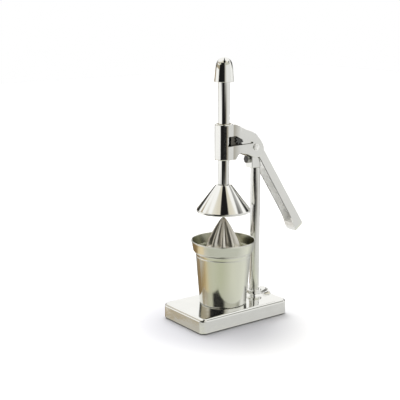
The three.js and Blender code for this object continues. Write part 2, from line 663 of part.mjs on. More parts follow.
// Bullet cap. Shares of its radius and height.
const capShares = [
  [1, 0.03], [0.93, 0.27], [0.885, 0.48], [0.835, 0.69], [0.73, 0.825], [0.56, 0.91], [0.33, 0.972],
];
const capBottomZ = ram.topZ + gap.seat;
const capSocket = bar('z', [0, 0], capBottomZ - overrun, ram.topZ + ram.upperSpigot + gap.seat,
  ram.spigotRadius + gap.running);
addPiece('ram_cap', turned([
  [0, capBottomZ], [cap.radius - cap.edge, capBottomZ],
  ...capShares.map(([r, z]) => [r * cap.radius, capBottomZ + z * cap.height]), [0, capBottomZ + cap.height]])
  .subtract(capSocket), materials.chrome);

// Press cone: a spun shell with a flat top and a short upright lip
const coneHole = ram.spigotRadius + gap.running;
const coneRimZ = coneTopZ - cone.height - cone.lip;
const coneLipZ = coneTopZ - cone.height;
const coneSlopeWall = cone.wall * Math.hypot(1, (cone.rimRadius - cone.topRadius) / cone.height);
addPiece('press_cone', turned([
  [coneHole, coneTopZ - cone.wall], [cone.topRadius - cone.wall / 2, coneTopZ - cone.wall],
  [cone.rimRadius - cone.wall, coneLipZ - coneSlopeWall + cone.wall], [cone.rimRadius - cone.wall, coneRimZ],
  [cone.rimRadius, coneRimZ], [cone.rimRadius, coneLipZ], [cone.topRadius, coneTopZ], [coneHole, coneTopZ],
  [coneHole, coneTopZ - cone.wall]]), materials.chrome);
const bossTopZ = coneTopZ - cone.wall - gap.seat;
const bossLowZ = bossTopZ - coneBoss.height;
addPiece('cone_boss', turned([
  [coneHole, bossLowZ], [coneBoss.radius, bossLowZ], [coneBoss.topRadius, bossTopZ], [coneHole, bossTopZ],
  [coneHole, bossLowZ]], smallSides), materials.steel);
const nutTopZ = bossLowZ - gap.seat;
addPiece('cone_nut', hexPrism('z', [0, 0], nutTopZ - coneNut.height, nutTopZ, coneNut.radius)
  .subtract(bar('z', [0, 0], bossLowZ - 2 * coneNut.height, bossLowZ, coneHole)), materials.steel);

// Cup with a rolled rim and a bead
function makeCup() {
  const w = cup.wall;
  const flare = (cup.topRadius - cup.bottomRadius) / cup.height;
  const radiusAt = (z) => cup.bottomRadius + flare * (z - cupBottomZ);
  const rimZ = cupTopZ - cup.rimHeight;
  const beadZ = cupTopZ - cup.beadDrop;
  return turned([
    [0, cupBottomZ], [cup.bottomRadius - cup.floorEdge, cupBottomZ],
    [radiusAt(cupBottomZ + cup.floorEdge), cupBottomZ + cup.floorEdge],
    [radiusAt(beadZ - cup.bead), beadZ - cup.bead], [radiusAt(beadZ) + cup.bead, beadZ],
    [radiusAt(beadZ + cup.bead), beadZ + cup.bead],
    [radiusAt(rimZ), rimZ], [cup.rimRadius, rimZ + cup.bead], [cup.rimRadius, cupTopZ - cup.bead],
    [cup.rimRadius - cup.bead, cupTopZ], [radiusAt(cupTopZ) - w, cupTopZ],
    [radiusAt(cupBottomZ + cup.floorEdge) - w, cupBottomZ + cup.floorEdge + w / 2],
    [cup.bottomRadius - cup.floorEdge - w, cupBottomZ + w], [0, cupBottomZ + w]]);
}
addPiece('cup', makeCup(), materials.polished);

// Strainer bowl: its ledge rests on the cup's rim and its skirt goes inside
const skirtOuter = cup.topRadius - cup.wall - strainer.skirtGap;
const skirtInner = skirtOuter - strainer.wall;
const screwHole = reamerScrew.shankRadius + gap.running;
function makeStrainer() {
  const w = strainer.wall;
  let body = turned([
    [screwHole, strainerLedgeZ], [skirtInner, strainerLedgeZ],
    [skirtInner, strainerLedgeZ - strainer.skirtDepth],
    [skirtOuter, strainerLedgeZ - strainer.skirtDepth], [skirtOuter, strainerLedgeZ],
    [strainer.shoulderRadius - w / 2, strainerLedgeZ], [strainer.shoulderRadius, strainerLedgeZ + w / 2],
    [strainer.rimRadius - w / 2, strainerTopZ - strainer.rimRoll],
    [strainer.rimRadius, strainerTopZ - w / 2],
    [strainer.rimRadius - w / 2, strainerTopZ], [strainer.rimRadius - w - w / 2, strainerTopZ - w / 2],
    [strainer.shoulderRadius - w, strainerFloorTopZ], [screwHole, strainerFloorTopZ],
    [screwHole, strainerLedgeZ]]);
  const from = reamer.baseRadius + strainer.slotEdge;
  const to = skirtInner - strainer.slotEdge;
  const slot = block([from, -strainer.slotWidth / 2, strainerLedgeZ - overrun],
    [to, strainer.slotWidth / 2, strainerFloorTopZ + overrun]);
  for (let i = 0; i < strainer.slotCount; i += 1) {
    body = body.subtract(slot.rotate([0, 0, 360 * i / strainer.slotCount]));
  }
  return body;
}
addPiece('strainer', makeStrainer(), materials.polished);

// Fluted reamer, a shell with a boss inside. Shares of its base radius and height.
const reamerShares = [
  [1, 0], [1, 0.04], [0.94, 0.1], [0.86, 0.22], [0.74, 0.38], [0.58, 0.56], [0.42, 0.72], [0.26, 0.86],
  [0.12, 0.96],
];
const fluteDepthShares = [0, 0, 0.5, 1, 1, 1, 1, 0.8, 0.3];
const innerApexShare = reamerShares[reamerShares.length - 1][1];
const reamerBossShare = 0.94;

function makeReamer() {
  const around = reamer.flutes * reamer.stepsPerFlute;
  const positions = [];
  const index = [];
  const rings = reamerShares.length;
  const addSkin = (inset) => {
    const first = positions.length / 3;
    reamerShares.forEach(([r, z], ringIndex) => {
      for (let i = 0; i < around; i += 1) {
        const angle = 2 * Math.PI * i / around;
        const groove = (1 - Math.abs(Math.cos(reamer.flutes * angle / 2))) * fluteDepthShares[ringIndex];
        const radius = r * reamer.baseRadius * (1 - reamer.fluteShare * groove) - inset;
        const height = ringIndex === 0 ? 0 : z * reamer.height - inset;
        const low = reamerBottomZ + Math.max(0, height);
        positions.push(radius * Math.cos(angle), radius * Math.sin(angle), low);
      }
    });
    const apexShare = inset > 0 ? innerApexShare : 1;
    positions.push(0, 0, reamerBottomZ + reamer.height * apexShare - inset);
    return first;
  };
  const outer = addSkin(0);
  const inner = addSkin(reamer.wall);
  const skin = (first, flip) => {
    const push = (a, b, c) => (flip ? index.push(a, c, b) : index.push(a, b, c));
    for (let ringIndex = 0; ringIndex < rings - 1; ringIndex += 1) {
      for (let i = 0; i < around; i += 1) {
        const a = first + ringIndex * around + i;
        const b = first + ringIndex * around + (i + 1) % around;
        push(a, b, b + around);
        push(a, b + around, a + around);
      }
    }
    const apex = first + rings * around;
    const last = first + (rings - 1) * around;
    for (let i = 0; i < around; i += 1) push(last + i, last + (i + 1) % around, apex);
  };
  skin(outer, false);
  skin(inner, true);
  for (let i = 0; i < around; i += 1) {
    const next = (i + 1) % around;
    index.push(outer + i, inner + i, inner + next);
    index.push(outer + i, inner + next, outer + next);
  }
  const shell = new wasm.Manifold(new wasm.Mesh({
    numProp: 3, vertProperties: new Float32Array(positions), triVerts: new Uint32Array(index),
  }));
  const bossTop = reamerBottomZ + reamer.height * reamerBossShare;
  const boss = bar('z', [0, 0], reamerBottomZ, bossTop, reamer.bossRadius);
  const holeTop = reamerBottomZ + reamerScrew.length + gap.loose;
  const hole = bar('z', [0, 0], reamerBottomZ - overrun, holeTop, screwHole);
  return shell.add(boss).subtract(hole);
}
addPiece('reamer', makeReamer(), materials.polished);

addPiece('reamer_screw', union(
  bar('z', [0, 0], strainerLedgeZ - gap.seat - reamerScrew.headHeight, strainerLedgeZ - gap.seat,
    reamerScrew.headRadius),
  bar('z', [0, 0], strainerLedgeZ - 2 * gap.seat, reamerBottomZ + reamerScrew.length,
    reamerScrew.shankRadius)), materials.steel);

export default press;
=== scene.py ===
"""Looks of the lever citrus press. Metres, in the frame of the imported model."""
import math

import bmesh
import bpy
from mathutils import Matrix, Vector


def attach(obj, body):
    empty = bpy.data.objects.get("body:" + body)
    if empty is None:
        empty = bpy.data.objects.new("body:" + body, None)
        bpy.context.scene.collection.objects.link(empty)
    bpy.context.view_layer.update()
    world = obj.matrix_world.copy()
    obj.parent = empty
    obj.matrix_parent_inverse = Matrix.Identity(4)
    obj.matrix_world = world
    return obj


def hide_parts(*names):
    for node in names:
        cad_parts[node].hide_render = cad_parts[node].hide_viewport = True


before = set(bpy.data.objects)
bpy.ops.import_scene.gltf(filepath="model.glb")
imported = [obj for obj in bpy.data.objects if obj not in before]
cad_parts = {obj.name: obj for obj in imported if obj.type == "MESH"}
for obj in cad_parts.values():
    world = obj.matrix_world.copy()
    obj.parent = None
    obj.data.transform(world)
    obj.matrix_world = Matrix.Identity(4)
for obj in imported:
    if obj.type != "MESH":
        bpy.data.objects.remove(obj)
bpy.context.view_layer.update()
MM = 0.001

# Sizes in millimetres, the same as the solids have
BASE = dict(length=175, width=108, low=1.9, top=25.4, centre_y=5.5, corner=10, least_corner=1.5, edge=5,
            foot_inset=4, foot_height=4, chamfer=0.6, flat_inset=5)
FOOT = dict(boss=12.5, height=9, fillet=3.2, skirt=5.5, clearance=0.3, seam=0.2, sunk=0.3)
FAIRING = dict(half=17.5, height=9.5, start=12, end_gap=3, rim=2.6, flare=0.4, sunk=0.6)
COLUMN = dict(radius=8, y=65.5, low=25.7, shoulder=241, spigot=6, top=267)
SLEEVE = dict(radius=14.5, bore=11.6, low=259.5, top=316)
HOOD = dict(bevel=3.0, slot_in=8.9, slot_out=11.8, rack_front=15.5, rack_half=4.4, clearance=0.7)
WAIST = dict(depth=2.4, front=8, length=19, low=250, high=320)
LUG = dict(front=51, low=241.3, top=268, half=8.5, round=8.6, bore=6.3, bore_top=267.3)
CLAMP = dict(height=255, head_low=45.1, head_top=50.7, head_radius=6.6, thread=3, end=59.2, bore=3.3,
             recess=7.3, recess_front=36.5)
SHAFT = dict(bore=3.3, half=9.5)
BUSH = dict(bore=9.3, radius=11.3)
PIVOT = (54.0, 276.0)
PIVOT_BORE = 4.3
NUT = dict(radius=6.5, low=-21.3, top=-16.3)
GEAR = (22.33, 289.634)
PINION_TIP, RACK_GEAR_TIP = 7.52, 16.75
EAR = dict(module=1.6, radius=28.0, root_share=0.92, tip_share=0.7, flank=25, play=0.32)
RACK = dict(module=2.5, line=7.25, root_share=0.92, flank=25, play=0.16, travel=65.625)
SWING = dict(up=31, down=22.5)
LEVER = dict(angle=-57, length=181.5, front=-1, back=12.5, end_back=14, heel=-5, heel_length=34, end_block=20,
             wall=2.2, web_start=56, corner=8, half=11.45, eye=13.5, start=2, end_fillet=9.4, bevel=2.4)
RAM = dict(radius=9, low=220, top=381, spigot=5, low_spigot=19, top_spigot=22)
CAP = dict(radius=15.6, low=381.3, height=37.5, bore=5.3, bore_depth=22.5, recess=1.5)
CONE = dict(top=219.7, top_radius=12.3, rim=43, height=40, lip=3.4, wall=1.8, bore=5.3)
CONE_BOSS = dict(gap=0.3, height=8, low_radius=13, top_radius=10.2)
CUP = dict(low=25.7, top=111.7, bottom_radius=37.8, top_radius=44.8, rim=46, wall=1.2, bead=0.2,
           bead_depth=8)
BOWL = dict(ledge=112, top=130, rim=52, shoulder=48.2, wall=1.2, skirt=6.5, skirt_outer=43, bore=2.2)
SLOTS = dict(count=28, outer=39.0, inner=33.2, half=1.1)
REAMER = dict(low=113.5, height=53, radius=30.5, flutes=9, wall=1.3, depth_share=0.3, least=0.4)
REAMER_BOSS = dict(bore=2.2, radius=3.6, top=160, bore_top=122.2)
# How far cutting tools reach past a face
OVERRUN = 1


# Mesh helpers
def turned(centre, radius, angle):
    """The point of a circle at an angle in radians."""
    return (centre[0] + radius * math.cos(angle), centre[1] + radius * math.sin(angle))


def disc(centre, radius, count=96):
    return [turned(centre, radius, 2 * math.pi * i / count) for i in range(count)]


def arc(centre, radius, start, end, steps):
    """Points of an arc between two angles in degrees, with both ends."""
    return [turned(centre, radius, math.radians(start + (end - start) * k / steps)) for k in range(steps + 1)]


def rounded(points, steps=6):
    """Rounds the corners of an open outline. A point is (a, b) or (a, b, fillet radius)."""
    out = []
    for i, point in enumerate(points):
        a = Vector(point[:2])
        fillet = point[2] if len(point) > 2 else 0
        if not fillet or i in (0, len(points) - 1):
            out.append(a)
            continue
        before = Vector(points[i - 1][:2]) - a
        after = Vector(points[i + 1][:2]) - a
        half = before.angle(after) / 2
        reach = min(fillet / math.tan(half), before.length * 0.49, after.length * 0.49)
        radius = reach * math.tan(half)
        middle = a + (before.normalized() + after.normalized()).normalized() * (radius / math.sin(half))
        start = a + before.normalized() * reach - middle
        end = a + after.normalized() * reach - middle
        turn = start.angle_signed(end)
        for k in range(steps + 1):
            angle = -turn * k / steps
            out.append(middle + Vector((start.x * math.cos(angle) - start.y * math.sin(angle),
                                        start.x * math.sin(angle) + start.y * math.cos(angle))))
    return [(p[0], p[1]) for p in out]


def rounded_loop(points, steps=6):
    """The same for a closed outline: every corner is rounded."""
    count = len(points)
    out = []
    for i in range(count):
        corner = [points[i - 1][:2], points[i], points[(i + 1) % count][:2]]
        out.extend(rounded(corner, steps)[1:-1])
    return out


def face_outwards(obj):
    bm = bmesh.new()
    bm.from_mesh(obj.data)
    bmesh.ops.recalc_face_normals(bm, faces=bm.faces)
    bm.to_mesh(obj.data)
    bm.free()


def object_from(name, verts, faces):
    mesh = bpy.data.meshes.new(name)
    mesh.from_pydata([(x * MM, y * MM, z * MM) for x, y, z in verts], [], faces)
    obj = bpy.data.objects.new(name, mesh)
    bpy.context.scene.collection.objects.link(obj)
    bm = bmesh.new()
    bm.from_mesh(mesh)
    bmesh.ops.remove_doubles(bm, verts=bm.verts, dist=1e-7)
    bmesh.ops.recalc_face_normals(bm, faces=bm.faces)
    bm.to_mesh(mesh)
    bm.free()
    return obj


def bands(first, rows, count, closed=True):
    """Faces between rows of points, the first row starting at the given point."""
    faces = []
    for k in range(rows - 1):
        low = first + k * count
        for i in range(count if closed else count - 1):
            j = (i + 1) % count
            faces.append((low + i, low + j, low + count + j, low + count + i))
    return faces


def lathe(name, profile, centre=(0.0, 0.0), segments=160, steps=6):
    """Turns a profile of (radius, height[, fillet]) about an upright axis."""
    verts, rows = [], []
    for r, z in rounded(profile, steps):
        count = 1 if r < 1e-6 else segments
        rows.append(list(range(len(verts), len(verts) + count)))
        for i in range(count):
            x, y = turned(centre, r if count > 1 else 0, 2 * math.pi * i / segments)
            verts.append((x, y, z))
    faces = []
    for low, high in zip(rows, rows[1:]):
        for i in range(segments):
            j = (i + 1) % segments
            if len(low) == 1 and len(high) == 1:
                continue
            if len(low) == 1:
                faces.append((low[0], high[j], high[i]))
            elif len(high) == 1:
                faces.append((low[i], low[j], high[0]))
            else:
                faces.append((low[i], low[j], high[j], high[i]))
    return object_from(name, verts, faces)


def lathe_x(name, profile, centre, segments=96):
    """Turns a profile of (radius, x[, fillet]) about a level axis along X through (y, z)."""
    obj = lathe(name, profile, segments=segments)
    for v in obj.data.vertices:
        x, y, z = v.co
        v.co = (z, centre[0] * MM + x, centre[1] * MM + y)
    face_outwards(obj)
    return obj


def apply_all(obj):
    depsgraph = bpy.context.evaluated_depsgraph_get()
    mesh = bpy.data.meshes.new_from_object(obj.evaluated_get(depsgraph))
    obj.modifiers.clear()
    obj.data = mesh


def bevel(obj, width, steps):
    mod = obj.modifiers.new("bevel", "BEVEL")
    mod.width = width * MM
    mod.segments = steps
    mod.limit_method = "ANGLE"
    mod.angle_limit = math.radians(50)
    apply_all(obj)


def plate(name, outline, low, high, axis="x"):
    """Pushes a closed outline along X, Y or Z. The outline is (y, z), (x, z) or (x, y)."""
    count = len(outline)
    place = {
        "x": lambda a, b, c: (c, a, b),
        "y": lambda a, b, c: (a, c, b),
        "z": lambda a, b, c: (a, b, c),
    }[axis]
    verts = [place(a, b, low) for a, b in outline] + [place(a, b, high) for a, b in outline]
    faces = [tuple(range(count)), tuple(range(count, 2 * count))]
    faces += [(i, (i + 1) % count, count + (i + 1) % count, count + i) for i in range(count)]
    return object_from(name, verts, faces)


def block(y, z, half):
    """A tool between two places in Y and two in Z, as wide to either side of the middle."""
    return plate("tool", [(y[0], z[0]), (y[1], z[0]), (y[1], z[1]), (y[0], z[1])], -half, half)


def both_sides(low, high):
    """The same stretch of X on the right and on the left."""
    return ((low, high), (-high, -low))


def boolean(obj, tool, operation):
    mod = obj.modifiers.new("cut", "BOOLEAN")
    mod.object = tool
    mod.operation = operation
    mod.solver = "EXACT"
    apply_all(obj)
    bpy.data.objects.remove(tool)


def cut(obj, tool):
    boolean(obj, tool, "DIFFERENCE")


def smooth(obj, angle, weighted):
    obj.data.shade_smooth()
    obj.data.set_sharp_from_angle(angle=math.radians(angle))
    if weighted:
        mod = obj.modifiers.new("weighted", "WEIGHTED_NORMAL")
        mod.keep_sharp = True
        apply_all(obj)


def dress(obj, material, body, replaces=(), angle=32, weighted=False):
    """Gives a piece its material, its body and the solids that it stands for."""
    smooth(obj, angle, weighted)
    obj.data.materials.clear()
    obj.data.materials.append(material)
    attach(obj, body)
    if replaces:
        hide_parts(*replaces)
    return obj


def line(obj, material, test):
    """Gives the faces that the test picks, by centre in mm and normal, a further material."""
    obj.data.materials.append(material)
    for face in obj.data.polygons:
        if test(face.center / MM, face.normal):
            face.material_index = len(obj.data.materials) - 1


# Materials
def new_material(name):
    material = bpy.data.materials.new(name)
    material.use_nodes = True
    tree = material.node_tree
    return material, tree, tree.nodes["Principled BSDF"]


def add_noise(tree, scale, detail=2.0, vector=None):
    noise = tree.nodes.new("ShaderNodeTexNoise")
    noise.inputs["Scale"].default_value = scale
    noise.inputs["Detail"].default_value = detail
    if vector:
        tree.links.new(vector, noise.inputs["Vector"])
    return noise.outputs["Fac"]


def add_tint(tree, factor, dark, light, socket):
    tint = tree.nodes.new("ShaderNodeMix")
    tint.data_type = "RGBA"
    tint.inputs["A"].default_value = (*dark, 1)
    tint.inputs["B"].default_value = (*light, 1)
    tree.links.new(factor, tint.inputs["Factor"])
    tree.links.new(tint.outputs["Result"], socket)


def add_bump(tree, height, distance, shader):
    bump = tree.nodes.new("ShaderNodeBump")
    bump.inputs["Strength"].default_value = 1.0
    bump.inputs["Distance"].default_value = distance * MM
    tree.links.new(height, bump.inputs["Height"])
    tree.links.new(bump.outputs["Normal"], shader.inputs["Normal"])


def metal(name, light, dark, rough, scale, bump, stretch=(1, 1, 1), metallic=1.0):
    """A metal whose tint and roughness wander a little over its surface, with faint polishing marks."""
    material, tree, shader = new_material(name)
    coords = tree.nodes.new("ShaderNodeTexCoord")
    mapping = tree.nodes.new("ShaderNodeMapping")
    mapping.inputs["Scale"].default_value = stretch
    tree.links.new(coords.outputs["Object"], mapping.inputs["Vector"])
    cloud = add_noise(tree, scale, 4, mapping.outputs["Vector"])
    fine = add_noise(tree, scale * 7, 3, mapping.outputs["Vector"])
    add_tint(tree, cloud, dark, light, shader.inputs["Base Color"])
    spread = tree.nodes.new("ShaderNodeMapRange")
    spread.inputs["To Min"].default_value = rough[0]
    spread.inputs["To Max"].default_value = rough[1]
    tree.links.new(fine, spread.inputs["Value"])
    tree.links.new(spread.outputs["Result"], shader.inputs["Roughness"])
    shader.inputs["Metallic"].default_value = metallic
    add_bump(tree, cloud, bump, shader)
    return material


CHROME = metal("chrome_plate", (0.93, 0.93, 0.91), (0.88, 0.88, 0.86), (0.03, 0.07), 28, 0.03)
CASTING = metal("chrome_casting", (0.93, 0.93, 0.91), (0.86, 0.86, 0.84), (0.05, 0.1), 38, 0.22)
# Unplated casting for the head's hollow, made darker still as painted shade in the cavity
SHADED_HOLLOW = metal("raw_casting_painted_shade", (0.2, 0.19, 0.17), (0.08, 0.075, 0.065), (0.3, 0.5), 60, 0.05)
BAR = metal("column_plate", (0.9, 0.9, 0.88), (0.82, 0.82, 0.8), (0.12, 0.2), 28, 0.05)
CHANNEL = metal("bare_channel", (0.98, 0.98, 0.97), (0.93, 0.93, 0.92), (0.4, 0.55), 45, 0.05, metallic=0.4)
# Painted shade: a dark grey for the front edges of the lever's walls, standing for the shade line along the
# channel
EDGE_SHADE = metal("lever_edge_painted_shade", (0.26, 0.26, 0.25), (0.16, 0.16, 0.15), (0.25, 0.4), 60, 0.04)
SHEET = metal("polished_sheet", (0.84, 0.84, 0.8), (0.76, 0.76, 0.71), (0.12, 0.2), 30, 0.03, (1, 1, 0.12))
# Painted shade with an olive painted reflection: the bowl's inner wall, darker than the sheet outside
BOWL_SHADE = metal("bowl_inside_painted_shade", (0.5, 0.5, 0.4), (0.36, 0.36, 0.27), (0.16, 0.28), 30, 0.03, (1, 1, 0.3))
REAMED = metal("satin_reamer", (0.86, 0.83, 0.78), (0.76, 0.73, 0.68), (0.26, 0.36), 40, 0.05)
STEEL = metal("plated_steel", (0.62, 0.62, 0.6), (0.5, 0.5, 0.49), (0.22, 0.38), 60, 0.02)
# Oiled steel for the gears, made near black as painted shade inside the head; also used as painted shade on
# the clamp bolt's front face
DARK_GEARS_AND_SHADE = metal("oiled_gear_steel_and_painted_shade", (0.16, 0.16, 0.16), (0.07, 0.07, 0.07), (0.25, 0.5), 80, 0.03)
BRASS = metal("bearing_brass", (0.46, 0.37, 0.2), (0.34, 0.27, 0.14), (0.3, 0.45), 60, 0.02, (1, 1, 6))


def make_rubber():
    material, tree, shader = new_material("mat_rubber")
    grain = add_noise(tree, 900)
    add_tint(tree, grain, (0.012, 0.012, 0.012), (0.03, 0.03, 0.03), shader.inputs["Base Color"])
    shader.inputs["Roughness"].default_value = 0.8
    add_bump(tree, grain, 0.05, shader)
    return material


RUBBER = make_rubber()

# The solids that the scene shows as they are get a material in their own slots
KEPT = {
    "base_mat": RUBBER,
    "base_plate": STEEL,
    "base_screw_1": STEEL,
    "base_screw_2": STEEL,
    "base_screw_3": STEEL,
    "base_screw_4": STEEL,
    "column_bolt": STEEL,
    "column_washer": STEEL,
    "rack_gear": DARK_GEARS_AND_SHADE,
    "pinion_right": DARK_GEARS_AND_SHADE,
    "pinion_left": DARK_GEARS_AND_SHADE,
    "gear_shaft": DARK_GEARS_AND_SHADE,
    "cone_nut": STEEL,
    "reamer_screw": STEEL,
}
for node, material in KEPT.items():
    for material_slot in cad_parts[node].material_slots:
        material_slot.material = material


# Base, foot and column
def base_outline(inset):
    x = BASE["width"] / 2 - inset
    y = BASE["length"] / 2 - inset
    r = max(BASE["corner"] - inset, BASE["least_corner"])
    points = []
    for sign_x, sign_y, start in ((1, 1, 0), (-1, 1, 90), (-1, -1, 180), (1, -1, 270)):
        centre = (sign_x * (x - r), sign_y * (y - r) + BASE["centre_y"])
        points += arc(centre, r, start, start + 90, 12)
    return points


def make_base():
    edge, top, low = BASE["edge"], BASE["top"], BASE["low"]
    rings = [
        (BASE["foot_inset"], low + BASE["foot_height"]),
        (BASE["foot_inset"], low),
        (BASE["chamfer"], low),
        (0, low + BASE["chamfer"]),
    ]
    rings += [(edge - y, z) for y, z in arc((0, top - edge), edge, 0, 90, 10)]
    rings.append((edge + BASE["flat_inset"], top))
    verts = []
    for inset, z in rings:
        verts += [(x, y, z) for x, y in base_outline(inset)]
    count = len(verts) // len(rings)
    faces = bands(0, len(rings), count)
    faces.append(tuple(range(len(verts) - count, len(verts))))
    faces.append(tuple(range(count)))
    return object_from("base_shell", verts, faces)


def make_foot():
    bore = COLUMN["radius"] + FOOT["clearance"]
    low = BASE["top"] - FOOT["sunk"]
    top = BASE["top"] + FOOT["height"]
    return lathe("column_foot", [
        (bore, BASE["top"] + FOOT["seam"]), (bore, top), (FOOT["boss"], top, FOOT["fillet"]),
        (FOOT["boss"], BASE["top"] + FOOT["fillet"], FOOT["fillet"]), (FOOT["boss"] + FOOT["skirt"], low),
        (bore, low)], (0, COLUMN["y"]))


def make_fairing():
    """An arch that widens and rises from the column to a rounded rim near the base's back edge."""
    half, height, rim, start = FAIRING["half"], FAIRING["height"], FAIRING["rim"], FAIRING["start"]
    radius = (half ** 2 + height ** 2) / (2 * height)
    axis_z = BASE["top"] + height - radius
    back = BASE["centre_y"] + BASE["length"] / 2 - FAIRING["end_gap"]
    reach = back - COLUMN["y"]
    sections = []
    for k in range(13):
        share = k / 12 * (1 - rim / reach)
        sections.append((COLUMN["y"] + reach * share, start + (radius - start) * share))
    last = sections[-1][1]
    for k in range(1, 9):
        a = math.radians(90 * k / 8)
        sections.append((back - rim + rim * math.sin(a),
                         last + FAIRING["flare"] * math.sin(a) - rim * (1 - math.cos(a))))
    row, rows = 65, len(sections)
    verts = []
    for y, r in sections:
        spread = math.acos(max(-1.0, min(1.0, (BASE["top"] - FAIRING["sunk"] - axis_z) / r)))
        for i in range(row):
            a = spread * (2 * i / (row - 1) - 1)
            verts.append((r * math.sin(a), y, axis_z + r * math.cos(a)))
    faces = bands(0, rows, row, closed=False)
    faces.append(tuple(range(row)))
    faces.append(tuple(range((rows - 1) * row, rows * row)))
    right = [k * row for k in range(rows)]
    left = [k * row + row - 1 for k in reversed(range(rows))]
    faces.append(tuple(right + left))
    return object_from("foot_fairing", verts, faces)


def make_column():
    low, shoulder, top = COLUMN["low"], COLUMN["shoulder"], COLUMN["top"]
    return lathe("column_bar", [
        (0, low), (COLUMN["radius"], low, 0.4), (COLUMN["radius"], shoulder, 0.6),
        (COLUMN["spigot"], shoulder), (COLUMN["spigot"], top), (0, top)], (0, COLUMN["y"]))


dress(make_base(), CASTING, "frame", ["base_casting"], 40, True)
dress(make_foot(), CASTING, "frame")
dress(make_fairing(), CASTING, "frame", angle=40)
dress(make_column(), BAR, "frame", ["column"])

# Head. Side views as (y, z[, fillet]): the hood, its window, and the room of the lever's ears
HOOD_OUTLINE = [
    (-6, 315), (13.5, 315.1, 2), (34, 306, 30), (46, 301.6, 25), (54, 297.2, 20), (61, 290, 14),
    (67, 282.5, 12), (71, 275, 9), (71.2, 268.5, 6), (68, 263, 5), (62, 259.2, 5), (54, 258.3, 8),
    (46, 261.5, 20), (38, 265.5, 20), (23, 269, 4), (18, 265.6, 4), (14.2, 259.6, 1), (-6, 259.6)]
WINDOW = [
    (-3, 281, 2.5), (25, 282, 8), (48, 282.4, 0.9), (48, 284.7, 0.9), (27, 290, 5), (14, 297, 3),
    (-3, 297, 2.5)]
EAR_ROOM = [(24.2, 100), (24.2, 307.5), (30, 305.0), (30, 420), (140, 420), (140, 100)]


def cut_waist(body):
    """Draws the side walls in a little towards the sleeve."""
    wide = SLEEVE["radius"]
    back = WAIST["front"] + WAIST["length"]
    curve = [(wide - WAIST["depth"] * (1 - k / 12) ** 2, WAIST["front"] + WAIST["length"] * k / 12)
             for k in range(13)]
    curve += [(wide + 2 * OVERRUN, back), (wide + 2 * OVERRUN, WAIST["front"])]
    for sign in (1, -1):
        cut(body, plate("tool", [(sign * x, y) for x, y in curve], WAIST["low"], WAIST["high"], "z"))


def add_lug(body):
    lug = block((LUG["front"], COLUMN["y"]), (LUG["low"], LUG["top"]), LUG["half"])
    bevel(lug, 0.8, 4)
    boolean(body, lug, "UNION")
    boolean(body, lathe("tool", [
        (0, LUG["low"]), (LUG["round"], LUG["low"], 0.8), (LUG["round"], LUG["top"]), (0, LUG["top"])],
        (0, COLUMN["y"])), "UNION")


def cut_gear_room(body):
    window = rounded_loop(WINDOW, 5)
    clear = HOOD["clearance"]
    inner, outer = HOOD["slot_in"], HOOD["slot_out"]
    for slot, wall in zip(both_sides(inner, outer), both_sides(inner, 16)):
        cut(body, plate("tool", EAR_ROOM, *slot))
        cut(body, plate("tool", disc(GEAR, PINION_TIP + clear), *slot))
        cut(body, plate("tool", window, *wall))
    half = HOOD["rack_half"]
    cut(body, plate("tool", disc(GEAR, RACK_GEAR_TIP + clear), -half, half))
    cut(body, block((HOOD["rack_front"], GEAR[0] + RACK_GEAR_TIP + clear), (241, GEAR[1]), half))


def upright_bore(radius, low, high, centre=(0, 0)):
    return lathe("tool", [(0, low), (radius, low), (radius, high), (0, high)], centre)


def cut_bores(body):
    bolt = (0, CLAMP["height"])
    for tool in (
            upright_bore(SLEEVE["bore"], 250, 330),
            upright_bore(LUG["bore"], 240, LUG["bore_top"], (0, COLUMN["y"])),
            plate("tool", disc(PIVOT, PIVOT_BORE), -20, 20),
            plate("tool", disc(GEAR, SHAFT["bore"]), -SHAFT["half"], SHAFT["half"]),
            plate("tool", disc(bolt, CLAMP["bore"]), LUG["front"] - OVERRUN, COLUMN["y"], "y"),
            plate("tool", disc(bolt, CLAMP["recess"]), CLAMP["recess_front"], LUG["front"], "y")):
        cut(body, tool)


def make_head():
    wide = SLEEVE["radius"]
    body = plate("head_shell", rounded(HOOD_OUTLINE, 5), -wide, wide)
    bevel(body, HOOD["bevel"], 6)
    barrel = lathe("tool", [
        (0, SLEEVE["low"]), (wide, SLEEVE["low"], 1.4), (wide, SLEEVE["top"], 1.8), (0, SLEEVE["top"])],
        segments=192)
    cut(body, block((-20, 0), (200, 350), 20))
    cut_waist(body)
    boolean(body, barrel, "UNION")
    add_lug(body)
    cut_gear_room(body)
    cut_bores(body)
    return body


def within(y, z, outline, margin):
    """Whether a point is on the inner side of every edge's line, or past none by more than the margin."""
    count = len(outline)
    for i in range(count):
        a, b = Vector(outline[i][:2]), Vector(outline[(i + 1) % count][:2])
        edge = b - a
        offset = Vector((y, z)) - a
        if edge.x * offset.y - edge.y * offset.x < -margin * edge.length:
            return False
    return True


def inside_head(centre, normal):
    """Whether a face of the head lies in its hollow or in the thickness of a window."""
    x, y, z = abs(centre.x), centre.y, centre.z
    inner, outer, bore = HOOD["slot_in"], HOOD["slot_out"], SLEEVE["bore"]
    if abs(normal.x) > 0.9:
        return y > bore + 0.1 and (x < HOOD["rack_half"] + 0.6 or inner - 0.3 < x < outer + 0.2)
    if inner - 0.1 < x < SLEEVE["radius"] - 0.1 and within(y, z, WINDOW, 0.6):
        return True
    if x >= bore + 0.3 or y <= bore + 0.4 or not 258 < z < 306:
        return False
    return abs(normal.x) < 0.1 and normal.z < 0.2 and (y < 30.1 or x > inner + 0.05)


